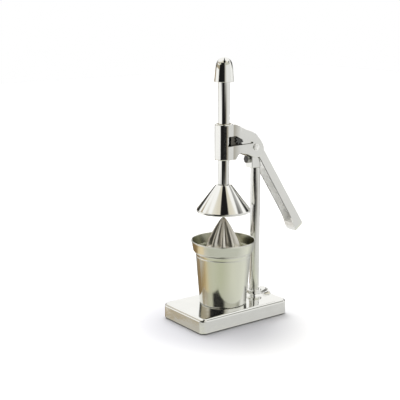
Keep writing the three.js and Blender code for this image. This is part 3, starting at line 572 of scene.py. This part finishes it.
def make_clamp_bolt():
    centre = (0, CLAMP["height"])
    hexagon = disc(centre, CLAMP["head_radius"], 6)
    bolt = plate("clamp_bolt", hexagon, CLAMP["head_low"], CLAMP["head_top"], "y")
    bevel(bolt, 0.5, 4)
    thread = plate("tool", disc(centre, CLAMP["thread"]), CLAMP["head_top"] - 0.3, CLAMP["end"], "y")
    boolean(bolt, thread, "UNION")
    return bolt


def make_bush(name, low, high):
    bore, radius, middle = BUSH["bore"], BUSH["radius"], (low + high) / 2
    return lathe(name, [
        (bore, middle), (bore, low, 0.5), (radius, low, 0.4), (radius, high, 0.4), (bore, high, 0.5),
        (bore, middle)])


def make_pivot_bolt():
    return lathe_x("pivot_bolt_dome", [
        (0, -22.5), (4, -22.5, 0.6), (4, 14.8), (5.4, 14.8, 0.3), (5.4, 15.5, 0.5), (4.9, 17.0, 1.5),
        (3.2, 18.1, 3), (0, 18.4)], PIVOT)


def make_pivot_washer():
    return lathe_x("pivot_washer_ring", [
        (PIVOT_BORE, -15.4), (PIVOT_BORE, -16), (7, -16, 0.3), (7, -14.8, 0.3), (PIVOT_BORE, -14.8),
        (PIVOT_BORE, -15.4)], PIVOT)


def make_pivot_nut():
    nut = plate("pivot_nut_hex", disc(PIVOT, NUT["radius"], 6), NUT["low"], NUT["top"])
    bevel(nut, 0.5, 4)
    cut(nut, plate("tool", disc(PIVOT, PIVOT_BORE), -30, -10))
    return nut


head = dress(make_head(), CASTING, "frame", ["head_casting"], 28, True)
# Painted shade: the faces in the head's hollow and in the window's thickness get the dark raw casting
line(head, SHADED_HOLLOW, inside_head)
clamp = dress(make_clamp_bolt(), STEEL, "frame", ["head_clamp_bolt"])
# Painted shade: the clamp bolt's front face gets the near-black gear material
line(clamp, DARK_GEARS_AND_SHADE, lambda centre, normal: normal.y < -0.9)
dress(make_bush("bush_lower_ring", 260, 271), BRASS, "frame", ["bush_lower"])
dress(make_bush("bush_upper_ring", 304.5, 315.5), BRASS, "frame", ["bush_upper"])
dress(make_pivot_bolt(), CHANNEL, "frame", ["pivot_bolt"], 40)
dress(make_pivot_washer(), STEEL, "frame", ["pivot_washer"])
dress(make_pivot_nut(), STEEL, "frame", ["pivot_nut"])


# Lever
ANGLE = math.radians(LEVER["angle"])
ALONG = (math.cos(ANGLE), math.sin(ANGLE))
ACROSS = (-math.sin(ANGLE), math.cos(ANGLE))


def lever_point(along, across, fillet=0.0):
    y = PIVOT[0] + along * ALONG[0] + across * ACROSS[0]
    z = PIVOT[1] + along * ALONG[1] + across * ACROSS[1]
    return (y, z, fillet) if fillet else (y, z)


def involute(angle):
    return math.tan(angle) - angle


def ear_outline():
    """The toothed ear: the same teeth as the solid has, with more points on each flank."""
    module, radius = EAR["module"], EAR["radius"]
    root, tip = radius - module * EAR["root_share"], radius + module * EAR["tip_share"]
    flank = math.radians(EAR["flank"])
    base_radius = radius * math.cos(flank)
    pitch = math.pi * module / radius
    mesh_angle = math.atan2(GEAR[1] - PIVOT[1], GEAR[0] - PIVOT[0])

    def half_angle(r):
        start = (math.pi * module / 2 - EAR["play"]) / (2 * radius) + involute(flank)
        return start if r <= base_radius else start - involute(math.acos(base_radius / r))

    up = math.ceil(math.radians(SWING["up"]) / pitch)
    down = math.ceil(math.radians(SWING["down"]) / pitch)
    angles = [mesh_angle + (i + 0.5) * pitch for i in range(-up, down)]
    radii = [root + (tip - root) * k / 6 for k in range(7)]
    points = []
    for a in angles:
        points += [turned(PIVOT, r, a - half_angle(r)) for r in radii]
        points += [turned(PIVOT, r, a + half_angle(r)) for r in reversed(radii)]
    first, last = angles[0] - pitch / 2, angles[-1] + pitch / 2
    sweep = 2 * math.pi - (last - first)
    points.append(turned(PIVOT, root, last))
    points += [turned(PIVOT, LEVER["eye"], last + sweep * (0.12 + 0.76 * k / 30)) for k in range(31)]
    points.append(turned(PIVOT, root, first))
    return points


def grip_tool(half, length):
    """All between the lever's outer faces, with the grip's end corners rounded as seen from the front."""
    r = LEVER["corner"]
    outline = [(-half, -length), (half, -length)]
    outline += arc((half - r, length - r), r, 0, 90, 12) + arc((r - half, length - r), r, 90, 180, 12)
    obj = plate("tool", outline, -length, length, "z")
    for v in obj.data.vertices:
        x, along, across = v.co / MM
        y, z = lever_point(along, across)
        v.co = (x * MM, y * MM, z * MM)
    face_outwards(obj)
    return obj


def lever_side():
    """The lever's outline from the side, with its heel at the closed end."""
    start, length, front, heel = LEVER["start"], LEVER["length"], LEVER["front"], LEVER["heel"]
    fillet = LEVER["end_fillet"]
    return rounded_loop([
        lever_point(start, front, 0.5), lever_point(length - LEVER["heel_length"], front, 60),
        lever_point(length - fillet, heel, 9), lever_point(length, heel, fillet),
        lever_point(length, LEVER["end_back"], fillet), lever_point(start, LEVER["back"], 0.5)], 12)


def lever_hollow():
    """The room inside the channel, open to the front all along, and to the back above the web."""
    length, end, web = LEVER["length"], LEVER["length"] - LEVER["end_block"], LEVER["web_start"]
    rise = LEVER["end_back"] - LEVER["back"]

    def back_at(along):
        return LEVER["back"] + rise * along / length - LEVER["wall"]

    return rounded([
        lever_point(-30, -20), lever_point(end, -20), lever_point(end, back_at(end), 4),
        lever_point(web, back_at(web), 0.4), lever_point(web, 30), lever_point(-30, 30)], 8)


def make_lever():
    half = LEVER["half"]
    inner = half - LEVER["wall"]
    body = plate("lever_channel", lever_side(), -half, half)
    boolean(body, grip_tool(half, LEVER["length"]), "INTERSECT")
    bevel(body, LEVER["bevel"], 6)
    cut(body, plate("tool", lever_hollow(), -inner, inner))
    for wall in both_sides(inner, half):
        boolean(body, plate("tool", ear_outline(), *wall), "UNION")
    cut(body, plate("tool", disc(PIVOT, PIVOT_BORE), -20, 20))
    return body


def on_wall(centre):
    return abs(centre.x) > LEVER["half"] - LEVER["wall"] + 0.05


def in_channel(centre, normal):
    along = (centre.y - PIVOT[0]) * ALONG[0] + (centre.z - PIVOT[1]) * ALONG[1]
    return not on_wall(centre) and 10 < along < LEVER["length"] - LEVER["end_block"] + 0.5


def on_front_edge(centre, normal):
    return on_wall(centre) and normal.y * ACROSS[0] + normal.z * ACROSS[1] < -0.3


lever = dress(make_lever(), CHROME, "lever", ["lever"], 30, True)
line(lever, CHANNEL, in_channel)
# Painted shade along the front edges of the lever's walls
line(lever, EDGE_SHADE, on_front_edge)

# Ram, cap and cone. The cap's outline goes from its mouth to its tip, in shares of its radius and height
CAP_SHARES = [
    (0.962, 0.14), (0.928, 0.28), (0.9, 0.42), (0.872, 0.55), (0.832, 0.67), (0.77, 0.775), (0.68, 0.855),
    (0.56, 0.915), (0.42, 0.958), (0.27, 0.984), (0.13, 0.997)]


def make_ram():
    low, top, r, spigot = RAM["low"], RAM["top"], RAM["radius"], RAM["spigot"]
    foot, tip = low - RAM["low_spigot"], top + RAM["top_spigot"]
    body = lathe("ram_bar", [
        (0, foot), (spigot, foot, 0.6), (spigot, low), (r, low, 0.7), (r, top), (spigot, top),
        (spigot, tip, 0.6), (0, tip)], segments=192)
    pitch = math.pi * RACK["module"]
    reach = math.sqrt(RACK_GEAR_TIP ** 2 - (GEAR[0] - r) ** 2)
    below = math.ceil((RACK["travel"] * math.radians(SWING["up"]) + reach) / pitch)
    above = math.ceil((RACK["travel"] * math.radians(SWING["down"]) + reach) / pitch)
    slope = math.tan(math.radians(RACK["flank"]))
    root, mouth = RACK["line"] - RACK["module"] * RACK["root_share"], r + OVERRUN
    deep, wide = (pitch / 4 + RACK["play"] + (y - RACK["line"]) * slope for y in (root, mouth))
    for i in range(-below, above + 1):
        z = GEAR[1] + i * pitch
        space = [(root, z - deep), (mouth, z - wide), (mouth, z + wide), (root, z + deep)]
        cut(body, plate("tool", space, -mouth, mouth))
    return body


def make_cap():
    low, r, height, bore = CAP["low"], CAP["radius"], CAP["height"], CAP["bore"]
    bottom, seat = low + CAP["bore_depth"], low + CAP["recess"]
    outline = [(0, bottom), (bore, bottom), (bore, seat), (r - 2.2, seat, 0.5), (r - 1.6, low, 0.4)]
    outline.append((r, low + 0.4, 0.5))
    outline += [(a * r, low + b * height) for a, b in CAP_SHARES]
    outline.append((0, low + height))
    return lathe("cap_dome", outline, segments=192)


def make_cone():
    top, small, rim, wall, bore = CONE["top"], CONE["top_radius"], CONE["rim"], CONE["wall"], CONE["bore"]
    lip_top = top - CONE["height"]
    lip_low = lip_top - CONE["lip"]
    slant = wall * math.hypot(1, (rim - small) / CONE["height"])
    return lathe("cone_shell", [
        (bore, top - wall / 2), (bore, top - wall), (small - wall / 2, top - wall, 1),
        (rim - wall, lip_top - slant + wall, 2), (rim - wall, lip_low, 0.5), (rim, lip_low, 0.8),
        (rim, lip_top, 1.6), (small, top, 1.6), (bore, top), (bore, top - wall / 2)], segments=224)


def make_cone_boss():
    top = CONE["top"] - CONE["wall"] - CONE_BOSS["gap"]
    low, bore = top - CONE_BOSS["height"], CONE["bore"]
    middle = (low + top) / 2
    return lathe("cone_boss_ring", [
        (bore, middle), (bore, low), (CONE_BOSS["low_radius"], low, 0.8), (CONE_BOSS["top_radius"], top, 0.5),
        (bore, top), (bore, middle)])


dress(make_ram(), CHROME, "ram", ["ram"], 35, True)
dress(make_cap(), CHROME, "ram", ["ram_cap"], 45)
dress(make_cone(), CHROME, "ram", ["press_cone"], 40)
dress(make_cone_boss(), STEEL, "ram", ["cone_boss"])

# Cup, strainer and reamer. The reamer's outline goes from its foot to its tip, in shares like the cap's
REAMER_SHARES = [
    (0.975, 0.0), (1, 0.012), (1, 0.035), (0.97, 0.07), (0.92, 0.13), (0.86, 0.22), (0.8, 0.3), (0.74, 0.38),
    (0.66, 0.47), (0.58, 0.56), (0.5, 0.64), (0.42, 0.72), (0.34, 0.79), (0.26, 0.86), (0.185, 0.915),
    (0.12, 0.96), (0.06, 0.988)]


def make_cup():
    low, top, wall, rim = CUP["low"], CUP["top"], CUP["wall"], CUP["rim"]
    flare = CUP["top_radius"] - CUP["bottom_radius"]
    bead = top - CUP["bead_depth"]

    def at(z):
        return CUP["bottom_radius"] + flare * (z - low) / (top - low)

    return lathe("cup_wall", [
        (0, low + 0.6), (at(low) - 6, low + 0.6, 1.5), (at(low) - 3.4, low, 1.5), (at(low), low, 2.6),
        (at(bead - 1), bead - 1, 0.6), (at(bead) + CUP["bead"], bead, 0.6), (at(bead + 1), bead + 1, 0.6),
        (at(top - 2.6), top - 2.6, 0.6), (rim, top - 2.3, 1.0), (rim, top, 1.0), (at(top) - wall, top, 0.7),
        (at(low + 3) - wall, low + 1.8, 2.4), (0, low + 1.8)], segments=224)


def slot_outline(angle):
    """A round-ended slot that points outwards at an angle in radians."""
    c, s = math.cos(angle), math.sin(angle)
    outer = arc((SLOTS["outer"], 0), SLOTS["half"], -90, 90, 6)
    inner = arc((SLOTS["inner"], 0), SLOTS["half"], 90, 270, 6)
    return [(x * c - y * s, x * s + y * c) for x, y in outer + inner]


def make_bowl():
    ledge, top, wall, rim, shoulder = (BOWL[key] for key in ("ledge", "top", "wall", "rim", "shoulder"))
    bore, outer = BOWL["bore"], BOWL["skirt_outer"]
    skirt, inner, floor = ledge - BOWL["skirt"], outer - wall, ledge + wall
    body = lathe("strainer_bowl", [
        (bore, ledge + wall / 2), (bore, ledge), (inner, ledge, 0.5), (inner, skirt, 0.4),
        (outer, skirt, 0.4), (outer, ledge, 0.4), (shoulder, ledge, 2.2), (rim - 0.9, top - 2.4, 0.5),
        (rim, top - 1.2, 0.7), (rim - 0.8, top, 0.8), (rim - 2.2, top - 1.0, 0.7),
        (shoulder - wall, floor, 1.8), (bore, floor), (bore, ledge + wall / 2)], segments=224)
    for i in range(SLOTS["count"]):
        outline = slot_outline(2 * math.pi * i / SLOTS["count"])
        cut(body, plate("tool", outline, ledge - OVERRUN, floor + OVERRUN, "z"))
    return body


def in_bowl(centre, normal):
    """Whether a face of the bowl looks inwards, between its floor and its rim."""
    facing = normal.x * centre.x + normal.y * centre.y
    inwards = facing < -0.2 * math.hypot(centre.x, centre.y)
    return inwards and BOWL["ledge"] + BOWL["wall"] - 0.1 < centre.z < BOWL["top"] - 1.2


def make_reamer():
    low, height, flutes, least = REAMER["low"], REAMER["height"], REAMER["flutes"], REAMER["least"]
    around, rows = flutes * 24, len(REAMER_SHARES)
    verts, faces = [], []

    def skin(inset, top_share):
        first = len(verts)
        for a, b in REAMER_SHARES:
            depth = min(1.0, max(0.0, (b - 0.03) / 0.15)) * min(1.0, (1 - b) / 0.16)
            z = low + (0 if b == 0 else max(b * height - inset, 0))
            for i in range(around):
                t = 2 * math.pi * i / around
                groove = (1 - abs(math.cos(flutes * t / 2)) ** 1.3) * depth
                r = max(a * REAMER["radius"] * (1 - REAMER["depth_share"] * groove) - inset, least)
                verts.append((*turned((0, 0), r, t), z))
        verts.append((0, 0, low + height * top_share - inset))
        faces.extend(bands(first, rows, around))
        last = first + (rows - 1) * around
        for i in range(around):
            faces.append((last + i, last + (i + 1) % around, first + rows * around))
        return first

    outer = skin(0, 1)
    inner = skin(REAMER["wall"], 0.99)
    for i in range(around):
        j = (i + 1) % around
        faces.append((outer + i, outer + j, inner + j, inner + i))
    return object_from("reamer_cone", verts, faces)


def make_reamer_boss():
    bore, radius, top, bore_top = (REAMER_BOSS[key] for key in ("bore", "radius", "top", "bore_top"))
    low, middle = REAMER["low"], 118
    return lathe("reamer_boss", [
        (bore, middle), (bore, low), (radius, low, 0.4), (radius, top), (0, top), (0, bore_top),
        (bore, bore_top), (bore, middle)])


dress(make_cup(), SHEET, "cup", ["cup"], 50)
bowl = dress(make_bowl(), SHEET, "strainer", ["strainer"], 50)
# Painted shade and reflection on the bowl's inward faces
line(bowl, BOWL_SHADE, in_bowl)
dress(make_reamer(), REAMED, "strainer", ["reamer"], 60)
dress(make_reamer_boss(), STEEL, "strainer")


# Stage, light and camera
CAMERA_AZ, CAMERA_EL = math.radians(53.42), math.radians(12.475)
TOWARDS = (math.sin(CAMERA_AZ), -math.cos(CAMERA_AZ), 0)
RIGHT = (math.cos(CAMERA_AZ), math.sin(CAMERA_AZ), 0)


def make_floor():
    """White paper, a little darker right under the press as a painted shadow."""
    reach = 4000
    corners = [(-reach, -reach, 0), (reach, -reach, 0), (reach, reach, 0), (-reach, reach, 0)]
    floor = object_from("floor", corners, [(0, 1, 2, 3)])
    material, tree, shader = new_material("floor_paper")
    coords = tree.nodes.new("ShaderNodeTexCoord")
    far = tree.nodes.new("ShaderNodeVectorMath")
    far.operation = "DISTANCE"
    far.inputs[1].default_value = (0.01, -0.035, 0)
    tree.links.new(coords.outputs["Object"], far.inputs[0])
    spread = tree.nodes.new("ShaderNodeMapRange")
    spread.interpolation_type = "SMOOTHSTEP"
    spread.inputs["From Min"].default_value = 0.06
    spread.inputs["From Max"].default_value = 0.2
    tree.links.new(far.outputs["Value"], spread.inputs["Value"])
    # The near colour is a bluish-grey painted shadow; the paper around it is lighter
    near, around = (0.55, 0.55, 0.585), (0.79, 0.79, 0.8)
    add_tint(tree, spread.outputs["Result"], near, around, shader.inputs["Base Color"])
    shader.inputs["Roughness"].default_value = 0.9
    shader.inputs["Specular IOR Level"].default_value = 0.0
    floor.data.materials.append(material)
    floor.visible_glossy = False


WHITE, BRIGHT, PALE, GREY = (1.0, 0.995, 0.97), (0.84, 0.84, 0.82), (0.62, 0.62, 0.6), (0.42, 0.42, 0.4)
BLACK, SOOT = (0.012, 0.012, 0.012), (0.04, 0.04, 0.035)
DULL, BEIGE, UMBER = (0.7, 0.7, 0.68), (0.74, 0.7, 0.58), (0.34, 0.25, 0.14)


def turn_share(degrees):
    return (degrees + 180) / 360


class Studio:
    """Nodes that colour the world by direction: towards the camera's side, to its right, and up."""

    def __init__(self, tree):
        self.nodes, self.links = tree.nodes, tree.links
        self.direction = self.nodes.new("ShaderNodeTexCoord").outputs["Generated"]
        self.toward, self.side, self.up = self.dot(TOWARDS), self.dot(RIGHT), self.dot((0, 0, 1))
        azimuth = self.calc("ARCTAN2", self.side, self.toward)
        self.turn = self.calc("MULTIPLY_ADD", azimuth, 1 / (2 * math.pi), 0.5)

    def dot(self, vector):
        node = self.nodes.new("ShaderNodeVectorMath")
        node.operation = "DOT_PRODUCT"
        self.links.new(self.direction, node.inputs[0])
        node.inputs[1].default_value = vector
        return node.outputs["Value"]

    def calc(self, operation, *values):
        node = self.nodes.new("ShaderNodeMath")
        node.operation = operation
        for i, value in enumerate(values):
            if isinstance(value, (int, float)):
                node.inputs[i].default_value = value
            else:
                self.links.new(value, node.inputs[i])
        return node.outputs[0]

    def product(self, first, *others):
        for other in others:
            first = self.calc("MULTIPLY", first, other)
        return first

    def rising(self, value, low, high):
        """Nought up to the one value, one from the other on, and smooth between them."""
        node = self.nodes.new("ShaderNodeMapRange")
        node.interpolation_type = "SMOOTHSTEP"
        self.links.new(value, node.inputs["Value"])
        node.inputs["From Min"].default_value = low
        node.inputs["From Max"].default_value = high
        return node.outputs["Result"]

    def falling(self, value, low, high):
        return self.calc("SUBTRACT", 1.0, self.rising(value, low, high))

    def ramp(self, value, stops):
        node = self.nodes.new("ShaderNodeValToRGB")
        elements = node.color_ramp.elements
        elements.remove(elements[-1])
        elements[0].position, elements[0].color = stops[0][0], (*stops[0][1], 1)
        for place, colour in stops[1:]:
            elements.new(place).color = (*colour, 1)
        self.links.new(value, node.inputs["Fac"])
        return node.outputs["Color"]

    def by_turn(self, stops):
        """Colours by the turn in degrees from the camera's side, with the right hand side above nought."""
        return self.ramp(self.turn, [(turn_share(degrees), colour) for degrees, colour in stops])

    def mix(self, factor, a, b):
        node = self.nodes.new("ShaderNodeMix")
        node.data_type = "RGBA"
        self.links.new(factor, node.inputs["Factor"])
        for socket, value in (("A", a), ("B", b)):
            if isinstance(value, tuple):
                node.inputs[socket].default_value = (*value, 1)
            else:
                self.links.new(value, node.inputs[socket])
        return node.outputs["Result"]

    def patch(self, start, end, bottom, top):
        """One inside a window of turn and height, with soft edges, and nought outside."""
        soft_turn, soft_height = 12, 0.02
        return self.product(
            self.rising(self.turn, turn_share(start), turn_share(start + soft_turn)),
            self.falling(self.turn, turn_share(end - soft_turn), turn_share(end)),
            self.rising(self.up, bottom, bottom + soft_height),
            self.falling(self.up, top - soft_height, top))


def level_colours(studio):
    """From a little below the horizon to well above it: what upright chrome and the base's top show."""
    level = studio.by_turn([
        (-179, GREY), (-150, (0.5, 0.5, 0.48)), (-128, WHITE), (-48, WHITE), (-38, BLACK), (31, BLACK),
        (38, (0.2, 0.17, 0.12)), (52, (0.45, 0.43, 0.38)), (68, DULL), (84, (0.74, 0.74, 0.72)),
        (130, BRIGHT), (150, GREY), (179, GREY)])
    beneath = studio.by_turn([
        (-179, GREY), (-150, GREY), (-128, WHITE), (-96, WHITE), (-84, BLACK), (-14, BLACK),
        (-2, (0.3, 0.3, 0.24)), (30, DULL), (84, DULL), (130, BRIGHT), (150, GREY), (179, GREY)])
    above = studio.by_turn([
        (-179, GREY), (-156, UMBER), (-132, UMBER), (-118, WHITE), (-76, WHITE), (-66, BLACK), (2, BLACK),
        (10, (0.5, 0.48, 0.42)), (30, BRIGHT), (130, BRIGHT), (150, GREY), (179, GREY)])
    # Seen off the base's top: what the foot of the cup shows
    mirrored = studio.by_turn([
        (-179, (0.35, 0.3, 0.22)), (-120, (0.36, 0.3, 0.2)), (-100, (0.4, 0.32, 0.2)),
        (-84, (0.62, 0.6, 0.48)), (-58, (0.62, 0.62, 0.5)), (-49, BLACK), (0, BLACK),
        (14, (0.55, 0.55, 0.47)), (60, (0.62, 0.62, 0.54)), (96, (0.4, 0.4, 0.35)), (118, BRIGHT),
        (150, GREY), (179, GREY)])
    up = studio.up
    colour = studio.mix(studio.rising(up, -0.24, -0.18), beneath, level)
    colour = studio.mix(studio.rising(up, -0.13, -0.05), colour, above)
    return studio.mix(studio.rising(up, 0.36, 0.4), colour, mirrored)


def high_colours(studio):
    """Overhead in front: what the slope of the cone shows, a dark bar between pale ones."""
    bars = studio.ramp(studio.calc("MULTIPLY_ADD", studio.side, 0.5, 0.5), [
        (0.0, WHITE), (0.33, BEIGE), (0.39, BEIGE), (0.42, BLACK), (0.62, BLACK), (0.66, BEIGE), (0.7, BEIGE),
        (1.0, WHITE)])
    return studio.mix(studio.rising(studio.toward, 0.18, 0.3), WHITE, bars)


def panels_behind(studio):
    """Low dark panels behind the press on both sides, and a grey one further up on the right."""
    toward, side, up = studio.toward, studio.side, studio.up
    across = studio.calc("ABSOLUTE", side)
    lift = studio.calc("MULTIPLY_ADD", studio.rising(side, -0.1, 0.1), -0.12, up)
    low = studio.product(
        studio.rising(across, 0.24, 0.34), studio.falling(across, 0.82, 0.9), studio.rising(up, 0.0, 0.06),
        studio.falling(lift, 0.25, 0.34), studio.falling(toward, -0.5, -0.35))
    high = studio.product(
        studio.rising(up, 0.53, 0.58), studio.falling(up, 0.67, 0.72), studio.rising(side, 0.6, 0.7),
        studio.falling(toward, 0.1, 0.3), 0.6)
    return studio.calc("MAXIMUM", low, high)


def strip_overhead(studio):
    """A dark strip overhead that narrows to the back, for the tip of the cap."""
    off = studio.calc("ABSOLUTE", studio.calc("SUBTRACT", studio.side, 0.03))
    spread = studio.calc("MULTIPLY_ADD", studio.toward, -0.12, off)
    return studio.product(
        studio.falling(spread, 0.07, 0.12), studio.rising(studio.up, 0.45, 0.55),
        studio.falling(studio.toward, 0.25, 0.35))


def lower_colours(studio, colour):
    """Below the horizon, in bands going down: the base's sides, the cup's wall, the bowl's wall."""
    low = studio.by_turn([
        (-179, (0.2, 0.16, 0.1)), (-134, (0.32, 0.22, 0.11)), (-122, (0.36, 0.26, 0.12)),
        (-100, (0.38, 0.29, 0.15)), (-86, (0.62, 0.62, 0.56)), (-60, (0.7, 0.7, 0.64)), (60, PALE),
        (130, PALE), (150, GREY), (179, GREY)])
    lower = studio.by_turn([
        (-179, (0.2, 0.17, 0.11)), (-150, (0.24, 0.17, 0.09)), (-130, (0.3, 0.2, 0.09)),
        (-94, (0.46, 0.33, 0.14)), (-81, (0.68, 0.58, 0.36)), (-68, (0.62, 0.61, 0.46)),
        (-48, (0.62, 0.63, 0.49)), (-8, (0.56, 0.58, 0.42)), (8, (0.6, 0.61, 0.47)), (40, (0.72, 0.73, 0.61)),
        (80, (0.76, 0.77, 0.67)), (110, (0.83, 0.84, 0.74)), (150, GREY), (179, GREY)])
    lowest = studio.by_turn([
        (-179, GREY), (-156, (0.85, 0.85, 0.83)), (-122, (0.85, 0.85, 0.83)), (-106, (0.7, 0.67, 0.58)),
        (-92, (0.72, 0.7, 0.62)), (-60, (0.56, 0.57, 0.49)), (60, (0.6, 0.61, 0.54)),
        (110, (0.85, 0.85, 0.8)), (150, GREY), (179, GREY)])
    up = studio.up
    colour = studio.mix(studio.rising(up, -0.33, -0.31), low, colour)
    colour = studio.mix(studio.rising(up, -0.366, -0.354), lower, colour)
    colour = studio.mix(studio.patch(-128, -84, -0.41, -0.325), colour, (0.52, 0.5, 0.44))
    colour = studio.mix(studio.rising(up, -0.58, -0.52), lowest, colour)
    return studio.mix(studio.patch(-156, -80, -0.6, -0.47), colour, (0.85, 0.72, 0.48))


def make_world():
    """A white studio with a tall dark opening where the picture is taken from."""
    world = bpy.data.worlds.new("studio")
    bpy.context.scene.world = world
    world.use_nodes = True
    studio = Studio(world.node_tree)
    up, panels = studio.up, panels_behind(studio)
    front = studio.mix(studio.rising(up, 0.62, 0.72), level_colours(studio), high_colours(studio))
    front = studio.mix(panels, front, SOOT)
    around = studio.mix(studio.rising(studio.toward, -0.2, 0.1), WHITE, front)
    colour = studio.mix(studio.rising(up, -0.02, 0.06), front, around)
    colour = studio.mix(panels, colour, SOOT)
    colour = studio.mix(strip_overhead(studio), colour, BLACK)
    colour = studio.mix(studio.patch(-135, -60, 0.09, 0.29), colour, (0.4, 0.35, 0.25))
    colour = studio.mix(studio.patch(-130, -76, 0.37, 0.5), colour, (0.38, 0.3, 0.18))
    colour = lower_colours(studio, colour)
    path = studio.nodes.new("ShaderNodeLightPath")
    background = studio.nodes["Background"]
    seen = studio.mix(path.outputs["Is Camera Ray"], colour, (1.0, 1.0, 1.0))
    studio.links.new(seen, background.inputs["Color"])
    background.inputs["Strength"].default_value = 1.0


def add_light(name, data, aim):
    """Puts a light in the scene, turned along the given direction and unseen in the chrome."""
    light = bpy.data.objects.new(name, data)
    bpy.context.scene.collection.objects.link(light)
    light.rotation_euler = Vector(aim).to_track_quat("-Z", "Y").to_euler()
    light.visible_glossy = False
    return light


def make_key():
    data = bpy.data.lights.new("key", "AREA")
    data.shape = "RECTANGLE"
    data.size, data.size_y = 1.0, 1.0
    data.energy = 10
    place, target = Vector((-1.0, 0.35, 1.35)), Vector((0, 0, 0.1))
    add_light("key", data, target - place).location = place


def make_sky():
    data = bpy.data.lights.new("sky", "SUN")
    data.energy = 2.5
    data.angle = math.radians(75)
    add_light("sky", data, (0.34, -0.1, -1))


def make_camera():
    data = bpy.data.cameras.new("camera")
    data.sensor_width = 36
    data.lens = 82.33
    camera = bpy.data.objects.new("camera", data)
    bpy.context.scene.collection.objects.link(camera)
    camera.location = (1.11773, -0.87601, 0.50823)
    level = math.cos(CAMERA_EL)
    forward = Vector((-TOWARDS[0] * level, -TOWARDS[1] * level, -math.sin(CAMERA_EL)))
    camera.rotation_euler = forward.to_track_quat("-Z", "Y").to_euler()
    bpy.context.scene.camera = camera
    bpy.context.scene.view_settings.view_transform = "Standard"


make_floor()
make_world()
make_key()
make_sky()
make_camera()
